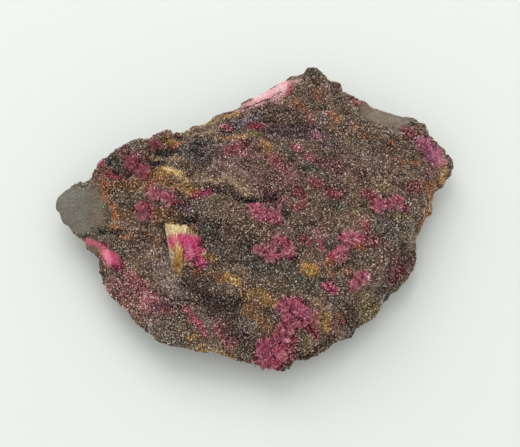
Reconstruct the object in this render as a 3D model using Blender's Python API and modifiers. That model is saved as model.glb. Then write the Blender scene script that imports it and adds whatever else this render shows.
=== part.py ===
"""Erythrite on matrix.

A flat, broken hand specimen of dark rock, with sprays of pink erythrite crystals on its top face.
Metres, +Z up, +X to the right and +Y away from the viewer. The rock rests on flat patches at z = 0,
and the origin is under the middle of its outline.
"""

import math
import random

import bmesh
import bpy
import numpy as np
from mathutils import Matrix, Vector, noise
from mathutils.bvhtree import BVHTree

MM = 0.001

# Driving dimensions of the rock, in millimetres
PLATEAU = 11.4            # height of the top face above the table
GRID = 0.7                # size of the mesh that the rock is shaped on
SLAB = 5.0                # thickness of the blank before it is shaped
MIN_WALL = 1.3            # thinnest rim
UNDERCUT_HEIGHT = 2.4     # how far the underside rises along the rim
UNDERCUT_WIDTH = 2.6      # how far in from the rim that rise starts
EDGE_WEAR = 0.5           # how far the top edge is worn down
EDGE_WEAR_WIDTH = 1.1
ROCK_FACES = 5100         # triangles in the finished rock

# Driving dimensions of the crystals, in millimetres
GAP = 0.3                 # clear space between the rock and the crystals
BLADE_WIDTH = 1.3
BLADE_THICKNESS = 0.8
BLADE_TIP = 0.45          # width of a blade at its tip, as a share of its root
BLADE_COUNT = 7           # blades in one tuft
LOW_LIFT = (8.0, 18.0)    # degrees over the rock's face of every other blade, least and most
HIGH_LIFT = (22.0, 36.0)  # the same of the blades between them
LENGTH_SPREAD = (0.85, 1.15)  # a blade's length, as a share of its tuft's radius
BLADE_SINK = -0.15        # how deep a tuft's root lies under the rock's face
CRUST_RISE = 0.95         # height of the crust that the tufts stand in
CRUST_RADIUS = 1.75
CRUST_STEP = 1.3          # spacing of the crust's knobs between neighbouring tufts
KNOB_SIDES = 7
KNOB_FOOT = 1.15          # radius of a knob's foot and of its flat top, as shares of its radius
KNOB_TOP = 0.45
TUFT_FACES = 116          # triangles for each tuft of a patch
FAN_FACES = 420
ATTEMPTS = 12             # seeds that may be tried for a patch whose faces meet badly

# The base is flat at least this far round the point it rests on
BASE_POINT = (1.0, -2.0)
BASE_RADIUS = 7.0

# The rock's widest outline, seen from above, clockwise from the left tip, in millimetres
OUTLINE = {
    "tongue, far side": [(-34.9, 3.2), (-33.2, 4.4), (-30.6, 6.1), (-29.8, 6.2)],
    "upper-left scarp": [(-29.2, 5.8), (-27.9, 7.3), (-26.6, 9.4), (-24.5, 10.7), (-22.7, 11.7),
                         (-20.5, 12.5), (-18.4, 12.7), (-15.7, 14.1), (-14.3, 14.4)],
    "pale bevel": [(-13.4, 15.6), (-11.1, 16.4), (-7.7, 18.0), (-4.9, 19.5), (-1.8, 20.8),
                   (1.8, 22.7), (5.2, 25.2), (7.5, 27.0)],
    "far point": [(8.8, 26.3), (10.6, 26.9), (11.9, 27.2), (12.3, 26.0), (13.6, 25.0)],
    "smooth far facet": [(15.0, 25.2), (18.0, 22.7), (20.1, 21.0), (23.1, 19.7), (26.7, 18.7),
                         (28.1, 18.8)],
    "shoulder": [(29.8, 17.7), (31.0, 16.6), (31.3, 15.0), (33.2, 12.7), (34.0, 12.2),
                 (35.6, 12.3), (36.0, 10.4), (35.3, 8.7)],
    "rusty side": [(34.4, 7.7), (33.2, 6.1), (32.1, 4.6), (31.7, 1.4), (30.6, 0.6), (29.9, -1.1),
                   (28.8, -3.7), (28.1, -4.8)],
    "dark bevel": [(28.4, -6.5), (28.4, -8.9), (27.5, -10.4), (26.2, -11.8), (23.4, -14.6),
                   (21.5, -17.7), (18.1, -20.3), (15.4, -22.6), (12.4, -24.5)],
    "near edge": [(9.3, -26.5), (7.6, -26.6), (6.4, -27.0), (5.8, -27.9), (2.9, -27.8),
                  (-1.5, -26.5), (-4.7, -25.8), (-8.1, -24.7), (-13.7, -24.1)],
    "lower-left lobe": [(-16.6, -23.1), (-18.4, -21.0), (-20.8, -18.5), (-21.8, -17.5),
                        (-22.3, -16.3), (-24.7, -14.3), (-26.6, -11.7), (-26.7, -10.6)],
    "notch": [(-26.1, -8.2), (-26.0, -6.0), (-28.0, -5.8), (-29.6, -4.7)],
    "tongue, near side": [(-30.5, -3.7), (-32.7, -1.8), (-34.6, 1.0), (-35.1, 2.5)],
}

# Fracture faces that cut the top: compass angle of the fall (0 is +X, 90 is +Y), distance from the
# origin at which the face passes a given height, that height, the fall per millimetre, and the
# height at its foot
TOP_FACES = {
    "lower-left lobe": (217.2, 15.0, 10.2, 0.33, 5.0),
    "shoulder": (8.0, 27.0, 11.0, 0.26, 8.0),
    "rusty side": (333.9, 25.7, 10.0, 3.6, 4.6),
    "dark bevel, right": (340.4, 26.6, 10.0, 1.9, 4.6),
    "dark bevel, near": (308.3, 23.7, 10.0, 1.55, 4.8),
    "near edge": (264.3, 20.3, 10.0, 0.58, 6.0),
}

# Fracture faces between side walls: the face, and where its walls stand along X
WALLED_FACES = {
    "pale bevel": ((119.0, 15.8, 11.0, 1.05, 6.2), -12.4, 7.6),
    "smooth far facet": ((69.6, 22.4, 10.5, 0.55, 7.6), 14.6, 40.0),
}
SIDE_WALL_SLOPE = 2.4

# The left tongue is a thin smooth face below a steeper head that climbs to the block behind it
TONGUE_TIP = (-35.0, 6.0)
TONGUE_RISE = 0.17
TONGUE_HEAD = (-28.6, 7.2)
TONGUE_HEAD_RISE = 0.95

# Ledges: the rock is higher on the left of each line, as one walks along it
LEDGES = {
    "long ledge": ([(3.6, 1.5), (1.5, 1.2), (-2.3, 1.8), (-4.2, 2.4), (-6.7, 3.7), (-10.4, 4.0),
                    (-14.2, 2.6), (-18.0, 3.4), (-21.5, 2.0)], 1.6, 6.0),
    "ridge of the lobe": ([(-2.0, -19.4), (-6.7, -16.9), (-9.3, -14.4), (-13.0, -12.0),
                           (-13.5, -7.8), (-14.7, -3.2)][::-1], 1.3, 5.0),
    "left crack": ([(-17.2, -4.2), (-22.8, -4.3), (-26.8, -3.8)], 0.7, 3.0),
    "block front": ([(-14.0, 8.6), (-17.0, 6.6), (-21.0, 5.4), (-25.0, 5.8)], 0.8, 3.0),
    "far terrace": ([(19.0, 10.5), (12.5, 12.5), (6.0, 12.0), (0.0, 13.8)], 0.6, 4.0),
    "right terrace": ([(13.0, -11.5), (17.0, -8.0), (21.5, -6.5), (24.0, -1.5)], 0.7, 4.0),
}

# Grooves: a line, its depth and its half width
GROOVES = {
    "under the long ledge": ([(-6.7, 3.2), (-2.3, 1.2), (1.5, 0.6), (3.4, 0.9)], 0.9, 0.8),
    "left crack": ([(-17.0, -4.8), (-22.8, -4.9), (-26.8, -4.4)], 0.7, 0.6),
    "far facet crack": ([(26.6, 16.6), (28.6, 16.3), (30.4, 15.6)], 0.7, 0.6),
    "beside the near spray": ([(5.6, -27.0), (8.0, -24.6)], 0.9, 0.6),
    "between block and bevel": ([(-13.2, 14.6), (-11.0, 12.2), (-9.8, 9.4)], 0.7, 0.9),
}

# Lumps and hollows: centre, half lengths along X and Y, height (a hollow is below zero)
LUMPS = {
    "far-left knob": (-15.2, 13.6, 1.5, 1.2, 0.9),
    "block crown": (-20.4, 9.9, 3.2, 1.9, 0.7),
    "ledge crest": (-4.4, 5.6, 2.6, 1.8, 0.8),
    "tan hump": (-12.0, 7.0, 2.0, 1.5, 0.6),
    "far swell": (11.5, 20.0, 4.5, 3.5, 0.9),
    "middle swell": (8.0, 4.5, 5.0, 3.0, 0.5),
    "right swell": (21.0, 3.0, 4.0, 3.6, 0.6),
    "near-right swell": (17.2, -14.2, 3.0, 2.2, 0.6),
    "near lump": (8.6, -24.0, 1.6, 1.2, 0.6),
    "lobe hump": (-17.4, -15.8, 3.2, 2.4, 0.5),
    "notch knob": (-24.0, -8.6, 1.4, 1.4, 0.6),
    "block pit": (-24.2, 8.0, 1.3, 1.2, -0.9),
    "dark hollow": (-6.6, -18.6, 4.2, 3.0, -0.8),
    "hollow by the fan": (-9.8, -4.4, 2.2, 3.0, -0.6),
    "right hollow": (14.0, -2.6, 2.4, 1.8, -0.5),
    "dip under the ledge": (-1.0, -1.2, 4.0, 1.6, -0.5),
    "shoulder hollow": (28.0, 12.4, 1.8, 1.4, -0.5),
}

# Broken faces of the underside: compass angle, where the face leaves the table, rise per millimetre
UNDER_FACES = {
    "tongue": (180.0, 17.0, 0.19),
    "block": (135.0, 16.5, 0.46),
    "far side": (100.0, 14.0, 0.40),
    "shoulder": (28.0, 24.0, 0.34),
    "right side": (315.0, 19.0, 0.38),
    "near side": (265.0, 17.5, 0.34),
    "lobe": (220.0, 17.5, 0.30),
}

# Roughness of the broken stone: size of the features, height of the features
TOP_ROUGHNESS = [(5.5, 0.6)]
UNDER_ROUGHNESS = [(7.0, 0.9), (2.8, 0.5)]
WALL_ROUGHNESS = [(4.0, 0.8)]
SKIN_ROUGHNESS = [(3.4, 0.5), (2.0, 0.5)]

# Crystal patches. Each tuft is (x, y, radius), in millimetres; a patch is the tufts that have grown
# together
PATCHES = {
    "lower_patch": [(5.6, -18.7, 2.2), (7.8, -19.4, 1.9), (10.1, -20.6, 1.9), (6.4, -21.2, 2.1),
                    (4.8, -23.0, 1.9), (2.4, -24.7, 2.3), (4.3, -25.7, 2.0), (2.7, -26.5, 2.0)],
    "center_rosette": [(1.4, -8.9, 1.6), (3.1, -9.7, 1.9), (4.6, -7.0, 1.7), (6.1, -8.9, 1.8)],
    "middle_rosette": [(1.0, -1.9, 2.0), (4.1, -2.5, 1.9)],
    "left_tuft": [(-18.5, -1.3, 1.9)],
    "left_streak": [(-16.9, 1.3, 1.6), (-14.5, 0.5, 1.8)],
    "block_tufts": [(-21.1, 7.9, 1.8), (-18.6, 5.6, 1.8)],
    "far_left_tuft": [(-17.0, 10.5, 1.7)],
    "notch_crust": [(-28.0, -5.4, 1.4), (-25.7, -7.2, 1.6), (-23.7, -9.1, 1.7)],
    "far_crust": [(-1.1, 19.3, 1.3), (1.0, 20.0, 1.5), (3.3, 21.0, 1.8), (5.8, 22.2, 2.0)],
    "shoulder_patch": [(30.2, 11.3, 2.0), (31.9, 9.3, 2.1)],
    "right_rosette": [(22.1, -0.6, 1.9), (24.5, -0.4, 1.8)],
    "right_tufts": [(16.7, -7.1, 2.0), (15.2, -9.7, 1.8)],
    "right_streak": [(17.3, -15.2, 1.6), (18.7, -13.9, 1.6)],
}
SMOOTH_CRUSTS = ("far_crust", "notch_crust")  # patches of crust alone, with no blades

# The fan: blades from one foot, opening over an angle, longer than a tuft's
FAN_FOOT = (-12.8, -12.1)
FAN_LENGTH = 8.9
FAN_TAPER = 0.26          # how much shorter its last blade is than its first, as a share
FAN_FROM = 58.0
FAN_TO = 100.0
FAN_BLADES = 7
FAN_BLADE_WIDTH = 1.5
FAN_BLADE_TIP = 0.9
FAN_BLADE_THICKNESS = 1.8
FAN_SLOPE = 0.08          # rise of the fan from its foot to its rim
FAN_CLEARANCE = -0.25     # height of the fan's middle over the highest rock below it
FAN_ROLL = 9.0            # how far a blade may turn about its own length, in degrees
FAN_MIDDLE = (-11.6, -7.6)
FAN_SIDE_TUFT = (-9.8, -10.3, 2.2)

# Colour, roughness and metallic value
MATRIX_FINISH = ((0.115, 0.078, 0.066, 1.0), 0.72, 0.0)
ERYTHRITE_FINISH = ((0.62, 0.045, 0.19, 1.0), 0.38, 0.0)
PALE_FINISH = ((0.80, 0.42, 0.50, 1.0), 0.50, 0.0)
FAN_FINISH = ((0.52, 0.20, 0.17, 1.0), 0.45, 0.0)
FINISHES = {"far_crust": PALE_FINISH, "fan": FAN_FINISH}


def clear_scene():
    """Start from an empty scene."""
    for obj in list(bpy.data.objects):
        bpy.data.objects.remove(obj, do_unlink=True)


def new_collection(name):
    """A collection linked into the scene."""
    group = bpy.data.collections.new(name)
    bpy.context.scene.collection.children.link(group)
    return group


def new_material(name, finish):
    """A Principled material from its colour, roughness and metallic value."""
    color, roughness, metallic = finish
    material = bpy.data.materials.new(name)
    material.use_nodes = True
    shader = material.node_tree.nodes["Principled BSDF"]
    shader.inputs["Base Color"].default_value = color
    shader.inputs["Roughness"].default_value = roughness
    shader.inputs["Metallic"].default_value = metallic
    material.diffuse_color = color
    return material


def evaluated_mesh(obj):
    """The mesh that an object's modifiers or curve settings give."""
    bpy.context.view_layer.update()
    depsgraph = bpy.context.evaluated_depsgraph_get()
    return bpy.data.meshes.new_from_object(obj.evaluated_get(depsgraph))


def bake(obj):
    """Turn an object's modifiers into its mesh."""
    mesh = evaluated_mesh(obj)
    obj.modifiers.clear()
    obj.data = mesh


def unit(angle):
    """The direction of a compass angle, in degrees."""
    return np.array([math.cos(math.radians(angle)), math.sin(math.radians(angle))])


def smooth(low, high, value):
    """A soft step from 0 at low to 1 at high."""
    t = np.clip((value - low) / (high - low), 0.0, 1.0)
    return t * t * (3.0 - 2.0 * t)


def soft_min(a, b, radius):
    """The lower of two heights, rounded where they meet."""
    h = np.clip(0.5 + 0.5 * (b - a) / radius, 0.0, 1.0)
    return b * (1.0 - h) + a * h - radius * h * (1.0 - h)


def line_distance(xy, points, closed=False):
    """Distance to a line of points, the side it is passed on, and the place along it (0 to 1)."""
    points = np.array(points, float)
    ends = np.roll(points, -1, axis=0) if closed else points[1:]
    starts = points if closed else points[:-1]
    lengths = np.linalg.norm(ends - starts, axis=1)
    travelled = np.concatenate([[0.0], np.cumsum(lengths)])
    best = np.full(len(xy), 1e9)
    side = np.zeros(len(xy))
    place = np.zeros(len(xy))
    for index, (start, end) in enumerate(zip(starts, ends)):
        run = end - start
        offset = xy - start
        t = np.clip(offset @ run / (run @ run), 0.0, 1.0)
        distance = np.linalg.norm(offset - t[:, None] * run, axis=1)
        nearer = distance < best
        best[nearer] = distance[nearer]
        cross = run[0] * offset[:, 1] - run[1] * offset[:, 0]
        side[nearer] = np.sign(cross)[nearer]
        place[nearer] = ((travelled[index] + t * lengths[index]) / travelled[-1])[nearer]
    return best, side, place


def roughness(points, layers, seed):
    """Broken-stone relief: ridged noise for the large forms, cells for the small ones."""
    total = np.zeros(len(points))
    for layer, (size, height) in enumerate(layers):
        shift = Vector((seed * 3.7, layer * 11.3, seed * 1.9))
        for index, point in enumerate(points):
            place = Vector(point) / size + shift
            if layer == 0:
                value = noise.fractal(place, 0.9, 2.1, 3, noise_basis="PERLIN_ORIGINAL")
            else:
                value = 0.55 - noise.voronoi(place)[0][0]
            total[index] += height * value
    return total


def fall(xy, face):
    """Height of a sloping face, down to its foot."""
    angle, start, height, slope, foot = face
    return np.maximum(height - slope * (xy @ unit(angle) - start), foot)


def top_height(xy, edge):
    """Height of the rock's top face."""
    x = xy[:, 0]
    height = np.full(len(xy), PLATEAU)
    for face in TOP_FACES.values():
        height = soft_min(height, fall(xy, face), 0.5)
    for face, left, right in WALLED_FACES.values():
        beside = np.maximum(left - x, x - right)
        walled = np.maximum(fall(xy, face), face[-1] + SIDE_WALL_SLOPE * beside)
        height = soft_min(height, walled, 0.4)
    tongue = TONGUE_TIP[1] + TONGUE_RISE * (x - TONGUE_TIP[0])
    head = TONGUE_HEAD[1] + TONGUE_HEAD_RISE * (x - TONGUE_HEAD[0])
    height = soft_min(height, np.maximum(tongue, head), 0.4)
    for points, step, reach in LEDGES.values():
        distance, side, place = line_distance(xy, points)
        signed = distance * side
        ends = smooth(0.0, 0.12, place) * smooth(0.0, 0.12, 1.0 - place)
        high_side = smooth(-0.3, 0.5, signed) * np.exp(-np.maximum(signed, 0.0) / reach)
        height += step * high_side * ends
    for points, depth, half_width in GROOVES.values():
        distance = line_distance(xy, points)[0]
        height -= depth * np.exp(-(distance / half_width) ** 2)
    for cx, cy, rx, ry, rise in LUMPS.values():
        q = ((x - cx) / rx) ** 2 + ((xy[:, 1] - cy) / ry) ** 2
        height += rise * np.exp(-q ** 1.4)
    height -= EDGE_WEAR * (1.0 - smooth(0.0, EDGE_WEAR_WIDTH, edge))
    return height


def under_height(xy, edge):
    """Height of the rock's underside, 0 where it rests on the table."""
    rise = np.zeros(len(xy))
    for angle, start, slope in UNDER_FACES.values():
        rise = np.maximum(rise, slope * (xy @ unit(angle) - start))
    rise += UNDERCUT_HEIGHT * (1.0 - smooth(0.0, UNDERCUT_WIDTH, edge))
    from_base = np.linalg.norm(xy - np.array(BASE_POINT), axis=1)
    away = smooth(BASE_RADIUS, BASE_RADIUS + 5.0, from_base)
    points = np.column_stack([xy, np.zeros(len(xy))])
    rise += away * roughness(points, UNDER_ROUGHNESS, 5)
    return np.maximum(rise, 0.0)


def outline_blank():
    """A slab with the rock's outline, as a mesh of even squares."""
    points = [point for stretch in OUTLINE.values() for point in stretch]
    curve = bpy.data.curves.new("outline", "CURVE")
    curve.dimensions = "2D"
    curve.fill_mode = "BOTH"
    curve.extrude = SLAB / 2 * MM
    spline = curve.splines.new("POLY")
    spline.points.add(len(points) - 1)
    for place, (x, y) in zip(spline.points, points):
        place.co = (x * MM, y * MM, 0.0, 1.0)
    spline.use_cyclic_u = True
    flat = bpy.data.objects.new("outline", curve)
    bpy.context.scene.collection.objects.link(flat)
    mesh = evaluated_mesh(flat)
    bpy.data.objects.remove(flat, do_unlink=True)
    work = bmesh.new()
    work.from_mesh(mesh)
    bmesh.ops.remove_doubles(work, verts=work.verts, dist=0.00001)
    bmesh.ops.recalc_face_normals(work, faces=work.faces)
    work.to_mesh(mesh)
    work.free()
    blank = bpy.data.objects.new("matrix", mesh)
    bpy.context.scene.collection.objects.link(blank)
    remesh = blank.modifiers.new("even squares", "REMESH")
    remesh.mode = "VOXEL"
    remesh.voxel_size = GRID * MM
    bake(blank)
    return blank


def set_points(mesh, points):
    """Move a mesh's points, given in millimetres."""
    mesh.vertices.foreach_set("co", (points * MM).astype(np.float32).ravel())
    mesh.update()


def shape_rock(blank):
    """Move the slab's points onto the rock's faces."""
    mesh = blank.data
    points = np.empty(len(mesh.vertices) * 3, np.float32)
    mesh.vertices.foreach_get("co", points)
    points = points.reshape(-1, 3).astype(float) / MM
    outline = [point for stretch in OUTLINE.values() for point in stretch]
    edge = line_distance(points[:, :2], outline, closed=True)[0]
    part = np.clip(points[:, 2] / SLAB + 0.5, 0.0, 1.0)
    top = top_height(points[:, :2], edge)
    under = under_height(points[:, :2], edge)
    flat = np.column_stack([points[:, :2], np.zeros(len(points))])
    top += roughness(flat, TOP_ROUGHNESS, 2)
    under = np.maximum(np.minimum(under, top - MIN_WALL), 0.0)
    points[:, 2] = under + part * (top - under)
    wall = (1.0 - smooth(0.4, 3.0, edge)) * np.sin(np.pi * np.clip(part, 0.0, 1.0))
    for axis in range(2):
        points[:, axis] += wall * roughness(points, WALL_ROUGHNESS, 7 + axis)
    set_points(mesh, points)
    normals = np.array([vertex.normal for vertex in mesh.vertices])
    off_table = smooth(0.15, 1.2, points[:, 2])
    points += normals * (off_table * roughness(points, SKIN_ROUGHNESS, 4))[:, None]
    points[:, 2] = np.maximum(points[:, 2], 0.0)
    set_points(mesh, points)


def make_rock(material):
    """The rock, as a closed mesh of flat facets."""
    rock = outline_blank()
    shape_rock(rock)
    triangles = sum(len(face.vertices) - 2 for face in rock.data.polygons)
    thin = rock.modifiers.new("facets", "DECIMATE")
    thin.ratio = ROCK_FACES / triangles
    thin.use_collapse_triangulate = True
    bake(rock)
    for vertex in rock.data.vertices:
        if vertex.co.z < 0.04 * MM:
            vertex.co.z = 0.0
    rock.data.materials.clear()
    rock.data.materials.append(material)
    return rock


def rock_tree(rock):
    """The rock's surface, for finding heights and slopes."""
    return BVHTree.FromPolygons([vertex.co.copy() for vertex in rock.data.vertices],
                                [tuple(face.vertices) for face in rock.data.polygons])


def stand_on(tree, x, y):
    """The point of the rock's top over (x, y) in millimetres, and the slope there."""
    probes = [(0.0, 0.0), (0.8, 0.0), (-0.8, 0.0), (0.0, 0.8), (0.0, -0.8)]
    normal = Vector((0.0, 0.0, 0.0))
    point = None
    for dx, dy in probes:
        start = Vector(((x + dx) * MM, (y + dy) * MM, 0.1))
        hit, facing = tree.ray_cast(start, Vector((0.0, 0.0, -1.0)))[:2]
        if hit is None:
            continue
        if point is None:
            point = hit
        normal += facing
    return point, normal.normalized()


def blade(target, foot, direction, flat_side, length, width, thickness, tip):
    """One flat crystal: a four-sided bar that narrows to a chisel tip."""
    direction = direction.normalized()
    across = flat_side.cross(direction).normalized()
    up = direction.cross(across).normalized()
    turn = Matrix((across, up, direction)).transposed().to_4x4()
    place = Matrix.Translation(foot + direction * (length * MM / 2)) @ turn
    stretch = Matrix.Diagonal((width * MM / math.sqrt(2), thickness * MM / math.sqrt(2), 1.0, 1.0))
    spin = Matrix.Rotation(math.radians(45.0), 4, "Z")
    bmesh.ops.create_cone(target, cap_ends=True, segments=4, radius1=1.0, radius2=tip,
                          depth=length * MM, matrix=place @ stretch @ spin)


def knob(target, tree, x, y, radius, rise):
    """A low flat-topped knob of crust."""
    point, normal = stand_on(tree, x, y)
    turn = normal.to_track_quat("Z", "Y").to_matrix().to_4x4()
    bmesh.ops.create_cone(target, cap_ends=True, segments=KNOB_SIDES,
                          radius1=radius * KNOB_FOOT * MM, radius2=radius * KNOB_TOP * MM,
                          depth=2 * rise * MM,
                          matrix=Matrix.Translation(point) @ turn)


def tuft(target, tree, x, y, radius, rng):
    """Blades that radiate from one foot, low over the rock, with a knob at the root."""
    point, normal = stand_on(tree, x, y)
    side = normal.orthogonal().normalized()
    foot = point - normal * (BLADE_SINK * MM)
    turn = rng.uniform(0.0, 360.0)
    for index in range(BLADE_COUNT):
        angle = math.radians(turn + 360.0 * index / BLADE_COUNT + rng.uniform(-12.0, 12.0))
        around = Matrix.Rotation(angle, 3, normal) @ side
        lift = math.radians(rng.uniform(*LOW_LIFT) if index % 2 else rng.uniform(*HIGH_LIFT))
        direction = around * math.cos(lift) + normal * math.sin(lift)
        length = radius * rng.uniform(*LENGTH_SPREAD)
        blade(target, foot, direction, normal, length, BLADE_WIDTH * radius / 2.0,
              BLADE_THICKNESS * radius / 2.0, BLADE_TIP)
    knob(target, tree, x, y, CRUST_RADIUS * radius / 2.0, CRUST_RISE * radius / 2.0 + 0.1)


def crust(target, tree, start, end):
    """Knobs of crust from one tuft to the next."""
    gap = math.hypot(end[0] - start[0], end[1] - start[1])
    steps = max(2, math.ceil(gap / CRUST_STEP))
    for step in range(1, steps):
        share = step / steps
        x = start[0] + (end[0] - start[0]) * share
        y = start[1] + (end[1] - start[1]) * share
        knob(target, tree, x, y, CRUST_RADIUS * 0.85, CRUST_RISE)


def grown_rock(rock, cutters):
    """The rock with its skin moved out by the gap, as the cutter for the crystals' undersides."""
    grown = rock.copy()
    grown.data = rock.data.copy()
    grown.name = "rock_skin"
    for vertex, normal in zip(grown.data.vertices, [v.normal.copy() for v in rock.data.vertices]):
        vertex.co += normal * (GAP * MM)
    grown.hide_render = True
    grown.display_type = "WIRE"
    cutters.objects.link(grown)
    return grown


def keep_largest(mesh):
    """Drop the chips that a cut leaves beside the main body."""
    work = bmesh.new()
    work.from_mesh(mesh)
    work.faces.ensure_lookup_table()
    seen = set()
    bodies = []
    for face in work.faces:
        if face.index in seen:
            continue
        seen.add(face.index)
        body = [face]
        for member in body:
            for edge in member.edges:
                for other in edge.link_faces:
                    if other.index not in seen:
                        seen.add(other.index)
                        body.append(other)
        bodies.append(body)
    bodies.sort(key=lambda body: sum(face.calc_area() for face in body))
    loose = [face for body in bodies[:-1] for face in body]
    bmesh.ops.delete(work, geom=loose, context="FACES")
    bmesh.ops.triangulate(work, faces=work.faces)
    bmesh.ops.remove_doubles(work, verts=work.verts, dist=0.00001)
    bmesh.ops.dissolve_degenerate(work, edges=work.edges, dist=0.00001)
    work.to_mesh(mesh)
    work.free()


def is_closed(mesh):
    """True where every edge joins two faces and every corner is a simple one."""
    work = bmesh.new()
    work.from_mesh(mesh)
    closed = all(edge.is_manifold for edge in work.edges)
    closed = closed and all(vertex.is_manifold for vertex in work.verts)
    work.free()
    return closed


def cut_patch(name, fill, skin, seed, faces):
    """The blades and knobs of one patch as one mesh, cut to the rock's skin and thinned."""
    work = bmesh.new()
    fill(work, random.Random(seed))
    mesh = bpy.data.meshes.new(name)
    work.to_mesh(mesh)
    work.free()
    patch = bpy.data.objects.new(name, mesh)
    bpy.context.scene.collection.objects.link(patch)
    cut = patch.modifiers.new("rock skin", "BOOLEAN")
    cut.operation = "DIFFERENCE"
    cut.object = skin
    cut.use_self = True
    bake(patch)
    keep_largest(patch.data)
    thin = patch.modifiers.new("facets", "DECIMATE")
    thin.ratio = min(1.0, faces / len(patch.data.polygons))
    thin.use_collapse_triangulate = True
    bake(patch)
    return patch


def grow_patch(name, fill, skin, parts, material, seed, faces):
    """One patch of crystals, from the first seed whose faces meet cleanly."""
    for attempt in range(ATTEMPTS):
        patch = cut_patch(name, fill, skin, seed + attempt, faces)
        if is_closed(patch.data):
            break
        if attempt < ATTEMPTS - 1:
            bpy.data.objects.remove(patch, do_unlink=True)
    bpy.context.scene.collection.objects.unlink(patch)
    parts.objects.link(patch)
    patch.data.materials.clear()
    patch.data.materials.append(material)
    return patch


def fill_patch(target, tree, tufts, rng, bladed):
    """The tufts of one patch, or its knobs of crust, and the crust between them."""
    for x, y, radius in tufts:
        if bladed:
            tuft(target, tree, x, y, radius, rng)
        else:
            knob(target, tree, x, y, radius, CRUST_RISE * rng.uniform(0.85, 1.0))
    for start, end in zip(tufts, tufts[1:]):
        crust(target, tree, start, end)


def fill_fan(target, tree, rng):
    """The fan: long blades from one foot that open over the rock, and a tuft at their side."""
    runs = [(index / (FAN_BLADES - 1), rng.uniform(0.95, 1.03)) for index in range(FAN_BLADES)]
    rays = []
    for share, spread in runs:
        angle = math.radians(FAN_TO + (FAN_FROM - FAN_TO) * share)
        rays.append((math.cos(angle), math.sin(angle), FAN_LENGTH * (1.0 - FAN_TAPER * share) * spread))
    height = 0.0
    for along_x, along_y, length in rays:
        for step in range(11):
            run = length * step / 10
            under = stand_on(tree, FAN_FOOT[0] + run * along_x, FAN_FOOT[1] + run * along_y)[0]
            height = max(height, under.z / MM - FAN_SLOPE * run)
    foot = Vector((FAN_FOOT[0], FAN_FOOT[1], height + FAN_CLEARANCE)) * MM
    for along_x, along_y, length in rays:
        roll = math.radians(rng.uniform(-FAN_ROLL, FAN_ROLL))
        across = Vector((-along_y, along_x, 0.0))
        flat_side = Vector((0.0, 0.0, 1.0)) * math.cos(roll) + across * math.sin(roll)
        slope = FAN_SLOPE + rng.uniform(-0.03, 0.03)
        blade(target, foot, Vector((along_x, along_y, slope)), flat_side, length,
              FAN_BLADE_WIDTH, FAN_BLADE_THICKNESS, FAN_BLADE_TIP)
    x, y, radius = FAN_SIDE_TUFT
    tuft(target, tree, x, y, radius, rng)
    crust(target, tree, (x, y), FAN_MIDDLE)


def build():
    """Make the rock and its crystals, with the origin under the middle of the whole."""
    clear_scene()
    parts = new_collection("erythrite_on_matrix")
    rock = make_rock(new_material("matrix", MATRIX_FINISH))
    bpy.context.scene.collection.objects.unlink(rock)
    parts.objects.link(rock)
    tree = rock_tree(rock)
    skin = grown_rock(rock, new_collection("cutters"))
    pieces = [rock]
    for index, (name, tufts) in enumerate(PATCHES.items()):
        material = new_material(name, FINISHES.get(name, ERYTHRITE_FINISH))

        def fill(target, rng, tufts=tufts, bladed=name not in SMOOTH_CRUSTS):
            fill_patch(target, tree, tufts, rng, bladed)

        pieces.append(grow_patch(name, fill, skin, parts, material, 100 * index + 100,
                                 TUFT_FACES * len(tufts)))
    material = new_material("fan", FINISHES["fan"])
    pieces.append(grow_patch("fan", lambda target, rng: fill_fan(target, tree, rng), skin, parts,
                             material, 50, FAN_FACES))
    corners = np.array([vertex.co for piece in pieces for vertex in piece.data.vertices])
    middle = (corners.min(axis=0) + corners.max(axis=0)) / 2
    for piece in pieces:
        piece.data.transform(Matrix.Translation((-middle[0], -middle[1], 0.0)))
    bpy.data.objects.remove(skin, do_unlink=True)


build()
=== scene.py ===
"""Looks of the erythrite specimen: a flat, broken piece of dark ore rock under a druse of fine grains,
with sprays, tufts and thin crusts of pink erythrite needles on its top face.

Lengths in the tables are in millimetres, in the row frame. Angles are in degrees.
"""

import itertools
import math

import bpy
import numpy as np
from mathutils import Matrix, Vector
from mathutils.bvhtree import BVHTree


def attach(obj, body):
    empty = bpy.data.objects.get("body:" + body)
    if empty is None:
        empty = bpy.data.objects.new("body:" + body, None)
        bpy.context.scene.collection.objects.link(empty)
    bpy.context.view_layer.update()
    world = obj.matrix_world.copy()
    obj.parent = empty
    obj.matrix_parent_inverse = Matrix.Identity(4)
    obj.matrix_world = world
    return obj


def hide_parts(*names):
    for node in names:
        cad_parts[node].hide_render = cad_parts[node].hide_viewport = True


MM = 0.001
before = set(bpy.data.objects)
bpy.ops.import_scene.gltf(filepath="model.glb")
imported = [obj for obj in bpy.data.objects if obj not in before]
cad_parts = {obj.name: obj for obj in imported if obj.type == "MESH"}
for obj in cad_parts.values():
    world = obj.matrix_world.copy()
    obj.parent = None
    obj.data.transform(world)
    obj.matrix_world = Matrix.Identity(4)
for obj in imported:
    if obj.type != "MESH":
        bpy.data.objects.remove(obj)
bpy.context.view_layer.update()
draw = np.random.default_rng(11)

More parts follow.
